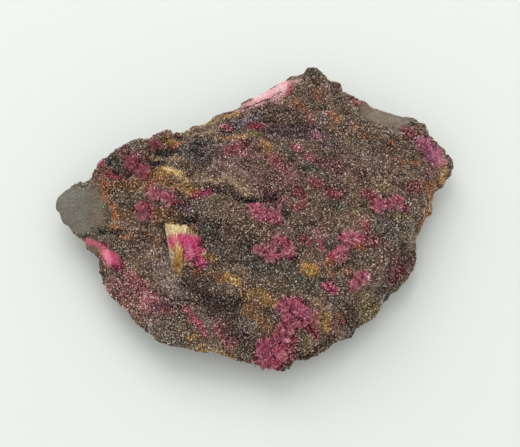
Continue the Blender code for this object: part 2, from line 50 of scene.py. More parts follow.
# Colours as the eye sees them under the studio light, from 0 to 255
PALETTE = {
    "brown": (112, 93, 80),
    "darkbrown": (72, 55, 50),
    "redbrown": (118, 76, 66),
    "tanbrown": (118, 97, 80),
    "umber": (88, 70, 62),
    "tan": (156, 136, 108),
    "taupe": (118, 111, 98),
    "slate": (106, 104, 95),
    "olive": (102, 95, 80),
    "olivedark": (82, 76, 65),
    "olivetan": (128, 113, 84),
    "mustard": (128, 112, 68),
    "ochre": (172, 134, 76),
    "yellowtan": (208, 176, 126),
    "yellowgreen": (130, 120, 66),
    "orange": (166, 104, 66),
    "orangetan": (190, 146, 100),
    "orangebrown": (140, 98, 66),
    "redorange": (158, 78, 54),
    "greygreen": (92, 88, 76),
    "greengrey": (72, 74, 68),
    "bluegrey": (104, 96, 104),
    "grey": (122, 112, 106),
    "palegrey": (136, 122, 114),
    "darkgrey": (76, 70, 66),
    "purplegrey": (98, 84, 88),
    "darkpurple": (78, 60, 66),
    "black": (44, 38, 38),
    "mauve": (124, 98, 98),
    "pinkbrown": (130, 94, 92),
    "pink": (166, 108, 112),
    "wine": (100, 58, 62),
    "purplered": (118, 72, 82),
    "crimson": (136, 54, 68),
    "rose": (168, 88, 102),
    "magenta": (170, 62, 98),
    "pinkpale": (200, 134, 150),
    "palepink": (224, 168, 172),
    "violetpink": (162, 96, 122),
    "cream": (214, 198, 172),
    "white": (232, 226, 220),
}
PINKS = {"pink", "wine", "crimson", "rose", "magenta", "pinkpale", "palepink", "violetpink", "purplered"}

# Colour areas of the top face: colour, strength, half width, and the line that the area follows
AREAS = [
    ("slate", 0.95, 3.6, [(-34.7, 2.2), (-31.4, 1.9)]),
    ("slate", 0.8, 1.6, [(-34.0, 3.7), (-30.1, 5.4)]),
    ("slate", 0.8, 1.6, [(-32.4, -1.5), (-29.1, -2.7)]),
    ("olive", 0.75, 2.3, [(-27.8, 3.2), (-27.4, -2.4), (-25.2, -4.0)]),
    ("olive", 0.5, 2.2, [(-24.9, -4.0), (-23.0, -6.2)]),
    # Upper-left block
    ("redbrown", 0.55, 2.2, [(-26.1, 7.1), (-23.7, 8.2)]),
    ("wine", 0.5, 2.0, [(-21.5, 8.7), (-18.0, 8.0)]),
    ("olive", 0.6, 1.3, [(-22.6, 11.2), (-19.1, 11.8)]),
    ("purplered", 0.7, 0.7, [(-24.2, 10.6), (-22.4, 11.0)]),
    ("crimson", 0.6, 0.9, [(-18.1, 12.1), (-17.3, 10.8)]),
    ("olive", 0.4, 0.9, [(-25.1, 9.7), (-23.3, 8.7)]),
    ("greengrey", 0.85, 1.1, [(-25.5, 9.5), (-24.4, 8.3)]),
    ("olive", 0.6, 0.9, [(-23.3, 9.0), (-22.9, 7.7)]),
    ("rose", 0.7, 0.7, [(-27.5, 9.0), (-26.5, 9.1)]),
    ("crimson", 0.75, 0.7, [(-25.8, 7.0), (-23.6, 6.2)]),
    ("rose", 0.85, 0.9, [(-22.0, 9.0), (-21.1, 7.7)]),
    ("crimson", 0.6, 1.1, [(-20.4, 7.6), (-19.0, 5.9), (-17.9, 4.8)]),
    ("ochre", 0.7, 1.1, [(-15.6, 12.5), (-14.7, 12.9)]),
    ("redorange", 0.7, 0.7, [(-14.6, 11.7), (-13.4, 12.5)]),
    ("brown", 0.6, 0.7, [(-16.0, 13.5), (-14.6, 17.1)]),
    ("yellowtan", 0.6, 0.7, [(-17.8, 9.1), (-16.6, 8.9)]),
    ("black", 0.85, 1.1, [(-16.6, 10.1), (-14.2, 10.5)]),
    ("black", 0.85, 1.1, [(-17.6, 7.6), (-15.9, 7.2)]),
    ("yellowtan", 0.6, 0.7, [(-14.5, 8.9), (-13.1, 9.4)]),
    ("darkgrey", 0.75, 1.4, [(-12.5, 9.8), (-9.0, 9.1)]),
    ("darkgrey", 0.6, 1.4, [(-12.1, 11.4), (-10.4, 11.9)]),
    # Left side below the block
    ("orange", 0.75, 0.9, [(-26.6, 5.4), (-26.0, 3.1), (-24.9, 2.1)]),
    ("orange", 0.8, 0.7, [(-24.8, 1.0), (-24.2, -0.9)]),
    ("orangebrown", 0.65, 1.4, [(-23.9, 4.8), (-20.0, 4.3), (-18.5, 2.6)]),
    ("olive", 0.7, 1.6, [(-23.9, 2.7), (-20.7, 1.7)]),
    ("orangebrown", 0.7, 0.9, [(-22.5, -0.2), (-20.4, -0.2)]),
    ("olive", 0.6, 1.1, [(-27.1, 1.4), (-26.0, 0.3)]),
    # Ochre ledge
    ("ochre", 0.85, 1.1, [(-17.9, 5.8), (-15.5, 6.2)]),
    ("yellowtan", 0.85, 0.9, [(-15.2, 6.7), (-13.4, 6.1), (-12.0, 4.7)]),
    ("orangebrown", 0.75, 1.1, [(-16.5, 4.5), (-13.7, 3.3)]),
    ("ochre", 0.7, 1.1, [(-12.7, 3.2), (-10.6, 2.3)]),
    ("tan", 0.5, 1.1, [(-10.3, 5.3), (-8.9, 4.3)]),
    # Crimson strokes below the block
    ("crimson", 0.8, 0.7, [(-18.2, 2.9), (-16.8, 1.5)]),
    ("magenta", 0.8, 0.7, [(-16.4, 1.8), (-14.3, 0.8)]),
    ("crimson", 0.6, 0.7, [(-13.7, 0.3), (-11.6, 0.3)]),
    ("magenta", 0.75, 0.7, [(-10.6, 2.0), (-7.5, 2.6)]),
    ("darkbrown", 0.7, 0.7, [(-8.5, 3.7), (-5.8, 4.0)]),
    ("magenta", 0.8, 1.1, [(-19.8, 0.1), (-18.5, -0.9)]),
    ("redbrown", 0.5, 1.3, [(-18.2, -0.0), (-16.8, -1.2)]),
    ("orangebrown", 0.6, 1.3, [(-16.8, -1.7), (-14.7, -1.3)]),
    ("purplegrey", 0.7, 1.3, [(-12.6, -0.5), (-10.6, -0.0)]),
    # painted shadow: a black stroke in the crevice here
    ("black", 0.85, 0.9, [(-12.3, -2.8), (-10.6, -2.2)]),
    ("darkgrey", 0.7, 1.3, [(-8.6, -3.7), (-7.1, -5.1)]),
    # Long ledge and its crevice, where the dark brown and black strokes are painted shadow
    ("tan", 0.8, 1.1, [(-5.4, 5.4), (-3.7, 4.8), (-1.6, 2.8)]),
    ("tan", 0.6, 0.9, [(-7.2, 4.6), (-5.8, 4.3)]),
    ("darkbrown", 0.8, 0.7, [(-6.5, 3.4), (-3.3, 2.5)]),
    ("black", 0.7, 0.6, [(-3.7, 1.4), (1.1, 1.3)]),
    ("olive", 0.5, 1.3, [(-9.9, 0.3), (-6.8, 0.4)]),
    # Far left: bevel rim, blue-grey strip
    ("tan", 0.8, 0.6, [(-12.3, 16.0), (-7.7, 16.8)]),
    ("ochre", 0.5, 1.1, [(-9.9, 17.8), (-5.9, 17.9)]),
    ("tan", 0.6, 0.5, [(-13.8, 15.6), (-9.8, 14.6), (-6.9, 14.3)]),
    ("palepink", 0.9, 0.7, [(1.2, 20.2), (-1.3, 19.6), (-3.1, 18.7)]),
    ("orangetan", 0.9, 0.7, [(-5.2, 17.8), (-3.1, 18.1)]),
    ("bluegrey", 0.8, 0.9, [(-4.1, 15.7), (-1.0, 16.7), (0.4, 17.6)]),
    ("crimson", 0.75, 0.9, [(-1.0, 15.5), (1.2, 15.2)]),
    ("rose", 0.7, 0.7, [(-5.7, 15.6), (-4.5, 15.0)]),
    ("orangetan", 0.6, 0.5, [(-6.6, 13.1), (-1.6, 13.0)]),
    ("darkgrey", 0.55, 2.5, [(-10.4, 11.1), (-8.3, 10.7)]),
    ("mauve", 0.6, 2.2, [(-6.9, 10.5), (-4.1, 10.6)]),
    ("crimson", 0.5, 1.1, [(-4.8, 10.5), (-2.3, 11.4)]),
    ("rose", 0.5, 0.9, [(-2.7, 10.5), (-1.6, 9.7)]),
    ("mauve", 0.5, 2.2, [(-5.8, 7.0), (-1.6, 6.5)]),
    # Mustard strip
    ("mustard", 0.7, 0.9, [(-0.6, 13.7), (1.2, 13.3)]),
    ("ochre", 0.75, 1.1, [(1.5, 11.8), (2.5, 10.6)]),
    ("olive", 0.6, 1.1, [(3.6, 10.8), (5.7, 10.4)]),
    # Pale far bevel
    ("palepink", 1.0, 1.6, [(6.5, 24.6), (3.6, 21.4)]),
    ("palepink", 1.0, 1.1, [(4.7, 22.7), (0.4, 20.9)]),
    ("crimson", 0.6, 0.5, [(5.9, 22.8), (6.1, 21.4)]),
    # Apex
    ("olivedark", 0.6, 1.6, [(7.3, 28.3), (11.1, 26.0)]),
    ("brown", 0.5, 2.2, [(8.9, 23.2), (11.1, 23.3)]),
    ("orange", 0.5, 0.9, [(10.7, 21.6), (11.4, 20.6)]),
    ("orange", 0.5, 0.9, [(7.1, 19.4), (8.5, 18.6)]),
    ("darkbrown", 0.4, 1.8, [(12.5, 21.0), (14.7, 21.4)]),
    # Upper middle: dark granular
    ("darkbrown", 0.55, 2.9, [(3.6, 16.8), (7.8, 16.0)]),
    ("darkpurple", 0.6, 1.6, [(1.9, 13.7), (6.4, 14.0), (10.3, 13.7)]),
    ("rose", 0.6, 0.7, [(9.3, 17.6), (9.8, 16.0)]),
    ("bluegrey", 0.5, 0.9, [(11.7, 17.1), (12.0, 15.6)]),
    ("purplegrey", 0.6, 1.6, [(10.9, 12.8), (13.0, 12.3)]),
    ("rose", 0.65, 0.7, [(10.6, 13.9), (10.9, 13.0)]),
    ("rose", 0.75, 0.7, [(6.7, 11.2), (7.6, 10.6)]),
    ("rose", 0.5, 0.9, [(9.3, 9.3), (10.0, 8.7)]),
    ("crimson", 0.5, 0.9, [(17.3, 22.2), (17.9, 21.0)]),
    ("orange", 0.6, 0.7, [(13.3, 17.6), (14.2, 16.5)]),
    ("orange", 0.6, 0.7, [(16.9, 15.2), (17.8, 14.6)]),
    ("orange", 0.6, 0.6, [(18.8, 13.3), (19.5, 12.9)]),
    ("orange", 0.8, 0.5, [(24.1, 12.9), (24.4, 12.3)]),
    ("orange", 0.65, 0.5, [(22.6, 11.6), (23.0, 10.8)]),
    ("orange", 0.6, 0.7, [(25.2, 9.0), (25.8, 8.3)]),
    ("orange", 0.6, 0.7, [(27.7, 9.1), (28.4, 8.6)]),
    ("greygreen", 0.6, 1.3, [(17.8, 18.6), (19.4, 15.8)]),
    ("greygreen", 0.4, 1.6, [(17.9, 12.1), (20.3, 10.8)]),
    ("greengrey", 0.7, 0.9, [(9.5, 7.4), (11.6, 6.3)]),
    ("darkbrown", 0.5, 0.9, [(7.7, 6.5), (9.1, 5.0)]),
    # Pink diffuse centre
    ("rose", 0.4, 1.6, [(2.9, 9.0), (5.0, 7.5), (6.3, 5.0)]),
    ("crimson", 0.5, 0.9, [(3.6, 8.6), (5.3, 6.8)]),
    ("pinkbrown", 0.55, 2.9, [(1.1, 4.5), (5.6, 2.6)]),
    ("pinkbrown", 0.45, 2.2, [(-2.7, 8.7), (0.1, 10.7)]),
    ("wine", 0.7, 1.4, [(11.9, 8.0), (15.1, 7.2)]),
    ("crimson", 0.6, 0.9, [(9.6, 4.6), (10.8, 3.8)]),
    ("crimson", 0.7, 1.1, [(7.4, 2.7), (8.6, 1.8)]),
    ("crimson", 0.8, 1.1, [(12.9, 2.9), (14.1, 1.8)]),
    ("rose", 0.5, 0.9, [(2.2, 2.2), (4.6, 1.1)]),
    ("brown", 0.5, 1.8, [(16.8, 7.2), (20.2, 5.0)]),
    ("wine", 0.4, 0.9, [(17.1, 6.3), (18.1, 5.6)]),
    # Far smooth facet
    ("taupe", 0.9, 1.3, [(21.0, 18.7), (26.4, 17.6), (28.5, 17.7)]),
    ("taupe", 0.9, 1.3, [(21.0, 18.0), (23.3, 15.3), (25.5, 15.2)]),
    # painted shadow: a dark brown line in the crevice along the facet
    ("darkbrown", 0.6, 0.4, [(26.2, 15.8), (29.3, 17.6)]),
    ("redbrown", 0.5, 1.1, [(26.9, 15.2), (29.1, 15.9)]),
    # Right shoulder
    ("rose", 0.5, 1.1, [(26.2, 15.2), (27.2, 14.4)]),
    ("violetpink", 0.9, 1.4, [(29.3, 12.9), (31.4, 11.4)]),
    ("violetpink", 0.95, 1.3, [(30.7, 10.1), (32.2, 10.3)]),
    ("mauve", 0.7, 0.7, [(33.0, 11.0), (34.7, 12.3)]),
    ("violetpink", 0.5, 0.7, [(30.2, 8.1), (30.8, 7.7)]),
    ("mauve", 0.5, 1.4, [(24.0, 5.2), (25.5, 5.8)]),
    ("greengrey", 0.5, 0.9, [(28.0, 7.4), (29.5, 8.0)]),
    ("redbrown", 0.6, 1.1, [(28.6, 3.9), (30.2, 5.8)]),
    ("crimson", 0.5, 1.1, [(27.9, 4.5), (26.5, 3.6)]),
    # Rusty right side
    ("orangetan", 0.95, 0.9, [(33.4, 9.3), (33.1, 7.8)]),
    ("orangebrown", 0.9, 0.9, [(31.9, 6.5), (30.6, 4.7)]),
    ("orangetan", 0.9, 0.7, [(31.2, 3.9), (30.4, 1.9)]),
    ("orangebrown", 0.85, 0.7, [(29.6, 0.9), (29.0, -1.4)]),
    ("orangebrown", 0.8, 0.7, [(28.5, -2.1), (27.8, -4.1)]),
    # Right middle
    ("brown", 0.6, 3.6, [(21.0, 8.8), (23.7, 5.6)]),
    ("grey", 0.5, 1.4, [(19.3, 9.5), (21.7, 7.7)]),
    ("tan", 0.45, 1.3, [(21.2, 4.6), (22.6, 3.5)]),
    ("crimson", 0.75, 0.9, [(19.1, 2.1), (20.5, 1.0)]),
    ("magenta", 0.75, 0.9, [(20.8, -0.1), (22.5, 0.1)]),
    ("magenta", 0.75, 0.6, [(23.6, 0.7), (25.0, 1.5)]),
    ("magenta", 0.8, 0.5, [(24.6, 1.1), (26.3, -1.3)]),
    ("mauve", 0.5, 1.4, [(23.5, -1.5), (24.9, -2.5)]),
    ("olive", 0.6, 1.6, [(24.2, -2.2), (27.2, -1.9)]),
    ("yellowgreen", 0.5, 0.7, [(24.5, -1.9), (26.3, -1.9)]),
    ("taupe", 0.6, 1.6, [(25.9, -3.3), (27.2, -3.4)]),
    ("grey", 0.6, 1.4, [(20.7, -2.5), (23.5, -4.6)]),
    ("greygreen", 0.4, 1.4, [(21.4, -4.1), (24.1, -5.3)]),
    ("crimson", 0.6, 0.9, [(18.0, -2.2), (19.0, -4.3)]),
    # Centre
    ("brown", 0.5, 3.2, [(7.7, -1.1), (14.6, -1.4)]),
    ("tanbrown", 0.5, 2.5, [(13.9, -0.4), (18.0, -1.4)]),
    ("tan", 0.4, 0.9, [(17.7, -1.0), (18.7, -2.3)]),
    ("greengrey", 0.6, 0.9, [(12.9, 0.5), (14.6, 0.0)]),
    ("black", 0.5, 0.9, [(4.6, -0.4), (5.6, -2.0)]),
    ("crimson", 0.6, 0.9, [(7.0, -0.4), (8.4, 0.4)]),
    ("tanbrown", 0.5, 2.2, [(-4.0, -1.4), (-1.9, -2.7)]),
    ("tanbrown", 0.5, 1.8, [(0.1, -3.2), (1.1, -4.9)]),
    ("darkgrey", 0.5, 1.8, [(-8.8, -6.4), (-5.3, -8.5)]),
    ("darkbrown", 0.5, 2.2, [(-5.7, -5.0), (-1.9, -7.2)]),
    ("greengrey", 0.5, 1.8, [(-1.6, -8.6), (-0.2, -10.3)]),
    ("darkbrown", 0.5, 0.9, [(2.2, 2.2), (4.2, 0.7)]),
    # Crystals of the middle (stain under the sprays)
    ("magenta", 0.8, 1.1, [(-0.2, -0.0), (0.8, -2.1)]),
    ("magenta", 0.8, 1.1, [(1.8, -1.8), (3.6, -2.5)]),
    ("rose", 0.6, 0.9, [(-0.2, -8.1), (1.1, -8.2)]),
    ("magenta", 0.9, 1.1, [(2.2, -8.9), (3.5, -9.7)]),
    ("magenta", 0.8, 1.1, [(3.5, -6.6), (5.6, -7.2), (5.6, -8.9)]),
    ("black", 0.6, 0.5, [(4.0, -7.7), (4.6, -8.0)]),
    ("crimson", 0.6, 0.9, [(8.0, -5.8), (9.0, -6.6)]),
    ("pinkpale", 0.7, 0.9, [(10.7, -4.8), (11.4, -5.9)]),
    ("rose", 0.7, 0.7, [(10.9, -6.7), (11.4, -8.0)]),
    ("black", 0.6, 0.9, [(12.1, -6.6), (13.1, -7.8)]),
    ("magenta", 0.9, 0.9, [(14.8, -6.1), (17.5, -6.3)]),
    ("magenta", 0.9, 0.9, [(13.4, -9.3), (15.1, -8.4)]),
    ("redorange", 0.75, 0.7, [(16.5, -7.6), (18.2, -8.0)]),
    ("crimson", 0.5, 1.1, [(18.9, -6.2), (20.6, -6.3)]),
    # Middle low
    ("greygreen", 0.7, 1.6, [(1.1, -11.0), (5.6, -11.5)]),
    ("greygreen", 0.75, 1.6, [(7.6, -13.7), (11.3, -14.0)]),
    ("ochre", 0.95, 1.1, [(8.6, -11.4), (10.0, -11.7)]),
    ("orange", 0.6, 0.6, [(12.1, -10.5), (13.1, -9.9)]),
    ("orange", 0.6, 0.6, [(12.4, -12.0), (13.0, -12.8)]),
    ("orangebrown", 0.6, 0.7, [(14.4, -11.3), (15.8, -11.8)]),
    ("redorange", 0.5, 0.5, [(16.4, -12.5), (17.1, -12.9)]),
    ("magenta", 0.85, 0.7, [(16.4, -14.6), (18.8, -12.4)]),
    ("pinkpale", 0.6, 0.5, [(18.5, -12.5), (19.3, -12.8)]),
    ("magenta", 0.75, 0.9, [(12.0, -14.2), (13.0, -15.4)]),
    ("grey", 0.5, 1.1, [(13.3, -16.6), (15.1, -17.0)]),
    ("tanbrown", 0.5, 1.6, [(18.9, -9.9), (20.9, -11.1)]),
    ("tanbrown", 0.4, 1.3, [(19.2, -13.8), (20.7, -14.2)]),
    ("taupe", 0.5, 1.1, [(17.2, -9.0), (18.9, -9.6)]),
    # Right low edge
    ("darkbrown", 0.7, 1.4, [(24.3, -8.6), (25.9, -6.6)]),
    ("wine", 0.85, 1.1, [(24.7, -8.5), (23.6, -11.1)]),
    ("crimson", 0.5, 0.7, [(24.4, -10.6), (25.5, -9.2)]),
    ("mauve", 0.6, 0.9, [(26.4, -7.7), (26.8, -9.4)]),
    ("greygreen", 0.7, 1.1, [(25.4, -12.3), (24.7, -13.4)]),
    ("grey", 0.6, 0.4, [(23.8, -8.3), (22.3, -11.4)]),
    ("darkgrey", 0.6, 1.1, [(22.2, -13.4), (20.7, -15.3)]),
    ("olivetan", 0.85, 1.6, [(18.9, -15.8), (20.8, -16.3)]),
    ("olivetan", 0.8, 1.3, [(16.5, -18.8), (20.1, -17.0)]),
    # Lower right band
    ("darkbrown", 0.7, 1.3, [(16.1, -18.1), (17.3, -19.4)]),
    ("darkgrey", 0.7, 1.3, [(15.5, -19.5), (16.6, -20.6)]),
    ("redorange", 0.5, 0.7, [(14.4, -18.7), (15.1, -19.6)]),
    ("redbrown", 0.6, 0.9, [(13.0, -20.2), (14.8, -20.7)]),
    ("taupe", 0.7, 0.4, [(14.0, -21.9), (15.5, -20.5)]),
    ("darkbrown", 0.6, 0.9, [(12.4, -22.1), (14.1, -22.8)]),
    ("taupe", 0.5, 0.9, [(10.3, -23.3), (12.1, -23.2)]),
    # painted shadow: a dark brown stroke in the crevice
    ("darkbrown", 0.6, 0.7, [(9.6, -24.4), (11.0, -23.3)]),
    ("tanbrown", 0.6, 0.9, [(8.6, -25.0), (11.1, -24.1)]),
    # painted shadow: a black stroke in the crevice
    ("black", 0.7, 0.5, [(5.9, -25.6), (7.9, -24.8)]),
    ("darkgrey", 0.7, 0.7, [(4.9, -27.1), (6.2, -26.3)]),
    # Near patch surroundings
    ("magenta", 0.85, 1.4, [(4.9, -18.5), (6.9, -17.9)]),
    ("magenta", 0.9, 1.4, [(5.5, -20.6), (7.9, -19.1)]),
    ("crimson", 0.9, 1.3, [(5.9, -20.5), (7.2, -21.5)]),
    ("magenta", 0.85, 1.1, [(4.2, -22.0), (5.2, -21.2)]),
    ("pinkpale", 0.6, 0.9, [(8.9, -19.2), (10.6, -19.5)]),
    ("crimson", 0.85, 0.9, [(9.2, -21.2), (9.9, -22.1)]),
    ("ochre", 0.7, 1.1, [(10.2, -20.4), (12.0, -20.5)]),
    ("tan", 0.6, 0.7, [(8.2, -16.4), (8.9, -16.8)]),
    ("tan", 0.7, 0.9, [(10.3, -17.5), (12.6, -18.9)]),
    ("ochre", 0.5, 0.9, [(12.0, -21.1), (12.6, -19.8)]),
    ("olivetan", 0.75, 1.3, [(6.9, -22.4), (8.6, -23.6)]),
    ("olivetan", 0.7, 0.9, [(5.6, -24.2), (7.3, -24.5)]),
    ("orangebrown", 0.6, 1.1, [(1.5, -21.1), (3.2, -22.0)]),
    ("ochre", 0.6, 0.9, [(1.5, -15.7), (2.2, -16.4)]),
    ("ochre", 0.6, 0.9, [(1.8, -17.1), (3.2, -17.4)]),
    ("magenta", 0.8, 1.3, [(1.1, -23.8), (3.5, -24.0)]),
    ("magenta", 0.85, 1.4, [(1.1, -25.2), (3.5, -26.3)]),
    ("magenta", 0.7, 1.1, [(4.9, -24.0), (6.2, -23.4)]),
    ("rose", 0.7, 1.1, [(4.9, -25.6), (6.2, -25.0)]),
    # Lower left lobe
    ("mauve", 0.5, 2.5, [(-18.1, -8.6), (-14.3, -9.7)]),
    ("tan", 0.4, 1.4, [(-21.6, -8.9), (-20.2, -10.1)]),
    ("tanbrown", 0.6, 1.3, [(-18.8, -10.5), (-17.4, -11.5)]),
    ("pink", 0.75, 1.3, [(-21.9, -11.3), (-20.5, -12.7)]),
    ("pink", 0.8, 1.6, [(-20.5, -12.7), (-18.0, -15.8)]),
    ("pink", 0.55, 1.6, [(-24.7, -12.8), (-23.3, -13.6)]),
    ("pink", 0.5, 1.6, [(-18.0, -15.8), (-15.6, -16.6)]),
    ("pink", 0.45, 1.8, [(-22.3, -15.2), (-18.0, -18.2)]),
    ("crimson", 0.4, 0.9, [(-17.0, -16.6), (-14.5, -17.8)]),
    ("darkpurple", 0.5, 0.7, [(-17.3, -16.9), (-13.2, -16.2)]),
    ("palegrey", 0.6, 1.8, [(-16.7, -10.4), (-13.6, -14.4)]),
    ("palegrey", 0.5, 1.3, [(-14.3, -12.2), (-12.5, -14.8)]),
    ("palegrey", 0.45, 2.2, [(-17.6, -20.3), (-13.5, -21.4)]),
    ("brown", 0.45, 1.4, [(-20.8, -17.8), (-19.4, -19.8)]),
    ("olive", 0.5, 1.3, [(-17.7, -21.7), (-13.8, -23.1)]),
    ("olive", 0.5, 0.9, [(-13.5, -23.4), (-11.1, -24.0)]),
    ("rose", 0.75, 0.7, [(-11.8, -17.7), (-10.1, -20.0)]),
    ("rose", 0.75, 0.7, [(-9.7, -20.0), (-8.7, -22.0)]),
    ("rose", 0.65, 1.1, [(-7.0, -20.5), (-3.9, -23.4)]),
    ("palegrey", 0.7, 0.9, [(-9.1, -18.2), (-7.7, -20.7)]),
    ("purplegrey", 0.5, 0.9, [(-12.5, -14.4), (-11.1, -16.3)]),
    ("ochre", 0.7, 0.6, [(-11.4, -22.6), (-10.4, -22.3)]),
    ("orangetan", 0.7, 0.7, [(-9.4, -24.1), (-7.4, -24.6)]),
    ("ochre", 0.7, 0.6, [(-6.0, -24.6), (-4.0, -25.4)]),
    ("tan", 0.5, 0.5, [(-11.1, -24.0), (-6.7, -24.5)]),
    # Notch
    ("rose", 1.0, 0.7, [(-30.0, -4.5), (-27.3, -5.6)]),
    ("rose", 1.0, 0.9, [(-26.3, -5.9), (-25.5, -8.6)]),
    ("magenta", 0.95, 1.1, [(-24.8, -8.1), (-23.7, -9.5)]),
    ("palepink", 0.5, 0.7, [(-25.7, -7.2), (-25.1, -9.0)]),
    ("tan", 0.5, 0.5, [(-26.2, -9.0), (-25.9, -9.7)]),
    # Rust band left of the fan
    ("orangebrown", 0.75, 0.9, [(-24.6, -2.6), (-22.1, -3.9)]),
    ("orangebrown", 0.7, 0.7, [(-23.8, -4.4), (-21.0, -4.6)]),
    # painted shadow: a black stroke in the crevice below the ridge
    ("black", 0.7, 0.5, [(-26.3, -3.4), (-22.8, -3.5)]),
    ("darkbrown", 0.5, 0.7, [(-22.0, -5.1), (-18.2, -4.9)]),
    ("orangebrown", 0.6, 0.7, [(-18.9, -4.1), (-16.7, -5.7)]),
    ("tan", 0.5, 0.9, [(-18.1, -7.9), (-16.4, -7.5)]),
    # Under and beside the fan
    ("black", 0.5, 0.7, [(-16.4, -3.3), (-15.4, -4.0)]),
    ("ochre", 0.9, 0.9, [(-14.7, -3.4), (-13.2, -4.3), (-10.9, -4.3)]),
    ("magenta", 0.8, 1.4, [(-13.6, -6.0), (-9.8, -7.0)]),
    ("magenta", 0.8, 1.4, [(-11.5, -8.5), (-9.4, -10.3)]),
    ("ochre", 0.8, 0.9, [(-13.2, -8.2), (-13.2, -11.3)]),
    ("redorange", 0.7, 0.7, [(-10.4, -11.7), (-9.7, -12.1)]),
    ("ochre", 0.65, 0.6, [(-8.7, -9.2), (-7.0, -10.0)]),
    ("grey", 0.5, 1.1, [(-14.6, -7.7), (-15.0, -9.6)]),
    # Hollow below the step, with painted shade in its dark brown and black strokes, and its ochre
    ("darkbrown", 0.8, 1.4, [(-11.8, -13.4), (-8.7, -15.7)]),
    ("black", 0.65, 1.1, [(-8.0, -16.7), (-3.3, -17.6)]),
    ("darkbrown", 0.6, 2.2, [(-7.0, -17.7), (-2.6, -21.0)]),
    ("ochre", 0.85, 0.9, [(-5.0, -12.9), (-3.3, -14.0)]),
    ("orangebrown", 0.6, 0.9, [(-7.4, -12.4), (-5.3, -13.3)]),
    ("orangebrown", 0.7, 1.1, [(-1.9, -15.8), (0.1, -17.8)]),
    ("ochre", 0.5, 0.9, [(-1.2, -16.4), (0.5, -15.3)]),
    ("darkbrown", 0.4, 1.4, [(-10.1, -12.7), (-8.4, -13.8)]),
    ("orangebrown", 0.55, 1.3, [(-1.9, -18.6), (1.1, -19.5)]),
    ("darkbrown", 0.5, 1.4, [(-5.0, -21.5), (-1.9, -22.5)]),
    ("black", 0.3, 1.1, [(-1.9, -17.0), (-3.9, -18.8)]),
    ("taupe", 0.5, 1.1, [(-2.2, -20.5), (-0.6, -21.5)]),
    ("mauve", 0.5, 0.9, [(-1.9, -22.0), (-0.9, -23.1)]),
]


# How much of the light the gaps between the grains swallow, so that the tints have to be this much paler
GAIN = 1.5


def linear(colour):
    """Rows of colours as seen, 0 to 255, as the tints that the shader wants."""
    c = np.asarray(colour, float) / 255
    return np.clip(GAIN * np.where(c <= 0.04045, c / 12.92, ((c + 0.055) / 1.055) ** 2.4), 0, 0.92)


def hashed(cells, salt):
    """Three numbers from 0 to 1 for each row of whole cell coordinates."""
    h = cells[..., 0] * 73856093 ^ cells[..., 1] * 19349663 ^ cells[..., 2] * 83492791 ^ (salt + 1) * 40503
    h = h & 0xFFFFFFFF
    found = []
    for turn in range(3):
        h = (h ^ (h >> 16)) * 0x45D9F3B & 0xFFFFFFFF
        h = (h ^ (h >> 13)) * 0x27D4EB2F & 0xFFFFFFFF
        h = h ^ (h >> 15)
        found.append(h / 4294967296.0)
    return np.stack(found, -1)


def smooth_noise(points, size, salt):
    """Noise from -1 to 1 with features of that size."""
    place = points / size
    cell = np.floor(place).astype(np.int64)
    part = place - cell
    part = part * part * (3 - 2 * part)
    total = np.zeros(len(points))
    for corner in itertools.product((0, 1), repeat=3):
        corner = np.array(corner)
        total += np.prod(np.where(corner, part, 1 - part), axis=1) * hashed(cell + corner, salt)[:, 0]
    return total * 2 - 1


def fractal(points, size, salt, octaves=4):
    """Noise from about -1 to 1 with finer and finer layers."""
    return sum(smooth_noise(points, size / 2 ** k, salt + k) / 2 ** k for k in range(octaves)) / 1.6


def cells(points, size, salt):
    """The distance to the nearest of scattered points, that to the next one, both in sizes, and the nearest's own number."""
    place = points / size
    cell = np.floor(place).astype(np.int64)
    near = np.full(len(points), 9.0)
    after = near.copy()
    own = np.zeros(len(points))
    for step in itertools.product((-1, 0, 1), repeat=3):
        other = cell + np.array(step)
        spot = hashed(other, salt)
        gap = np.linalg.norm(other + spot - place, axis=1)
        closer = gap < near
        after = np.where(closer, near, np.minimum(after, gap))
        own = np.where(closer, spot[:, 0] * 7.31 % 1, own)
        near = np.where(closer, gap, near)
    return near, after, own


def ramp(value, low, high):
    """0 at low, 1 at high, smooth between."""
    t = np.clip((value - low) / (high - low), 0, 1)
    return t * t * (3 - 2 * t)


def line_distance(points, line):
    """How far each point is from a line of points, seen from above."""
    line = np.array(line, float)
    if len(line) == 1:
        return np.linalg.norm(points[:, :2] - line[0], axis=1)
    found = np.full(len(points), 1e9)
    for a, b in zip(line[:-1], line[1:]):
        along = b - a
        t = np.clip((points[:, :2] - a) @ along / (along @ along), 0, 1)
        found = np.minimum(found, np.linalg.norm(points[:, :2] - a - t[:, None] * along, axis=1))
    return found


def paint(points, normals):
    """The rock's colour, 0 to 255, and its share of pink bloom, at points with these surface normals."""
    up = ramp(normals[:, 2], -0.25, 0.15)
    wander = np.stack([fractal(points, 2.2, 31, 3), fractal(points, 2.2, 41, 3), np.zeros(len(points))], -1)
    moved = points + wander * 0.55
    broad = fractal(points, 7.0, 5, 3)
    blotch = fractal(points, 2.6, 9, 3)
    colour = np.tile(np.array(PALETTE["brown"], float), (len(points), 1))
    for name, amount in (
        ("mauve", ramp(broad, 0.05, 0.7) * 0.2),
        ("olive", ramp(-broad, 0.05, 0.7) * 0.5),
        ("orangebrown", ramp(blotch, 0.25, 0.75) * 0.4),
        ("darkbrown", ramp(-blotch, 0.2, 0.75) * 0.3),
    ):
        colour += (np.array(PALETTE[name]) - colour) * amount[:, None]
    bloom = np.zeros(len(points))
    patchy = smooth_noise(points, 1.7, 61)
    for name, strength, width, line in AREAS:
        far = line_distance(moved, line) / width
        weight = strength * (1 - ramp(far, 0.45, 1.3)) * np.clip(0.9 + 0.4 * patchy, 0, 1) * up
        colour += (np.array(PALETTE[name]) - colour) * weight[:, None]
        bloom += ((name in PINKS) - bloom) * weight
    side = 1 - up
    under = np.array(PALETTE["umber"]) * (1 + 0.12 * broad[:, None])
    colour += (under - colour) * (side * 0.75)[:, None]
    return colour, bloom * up


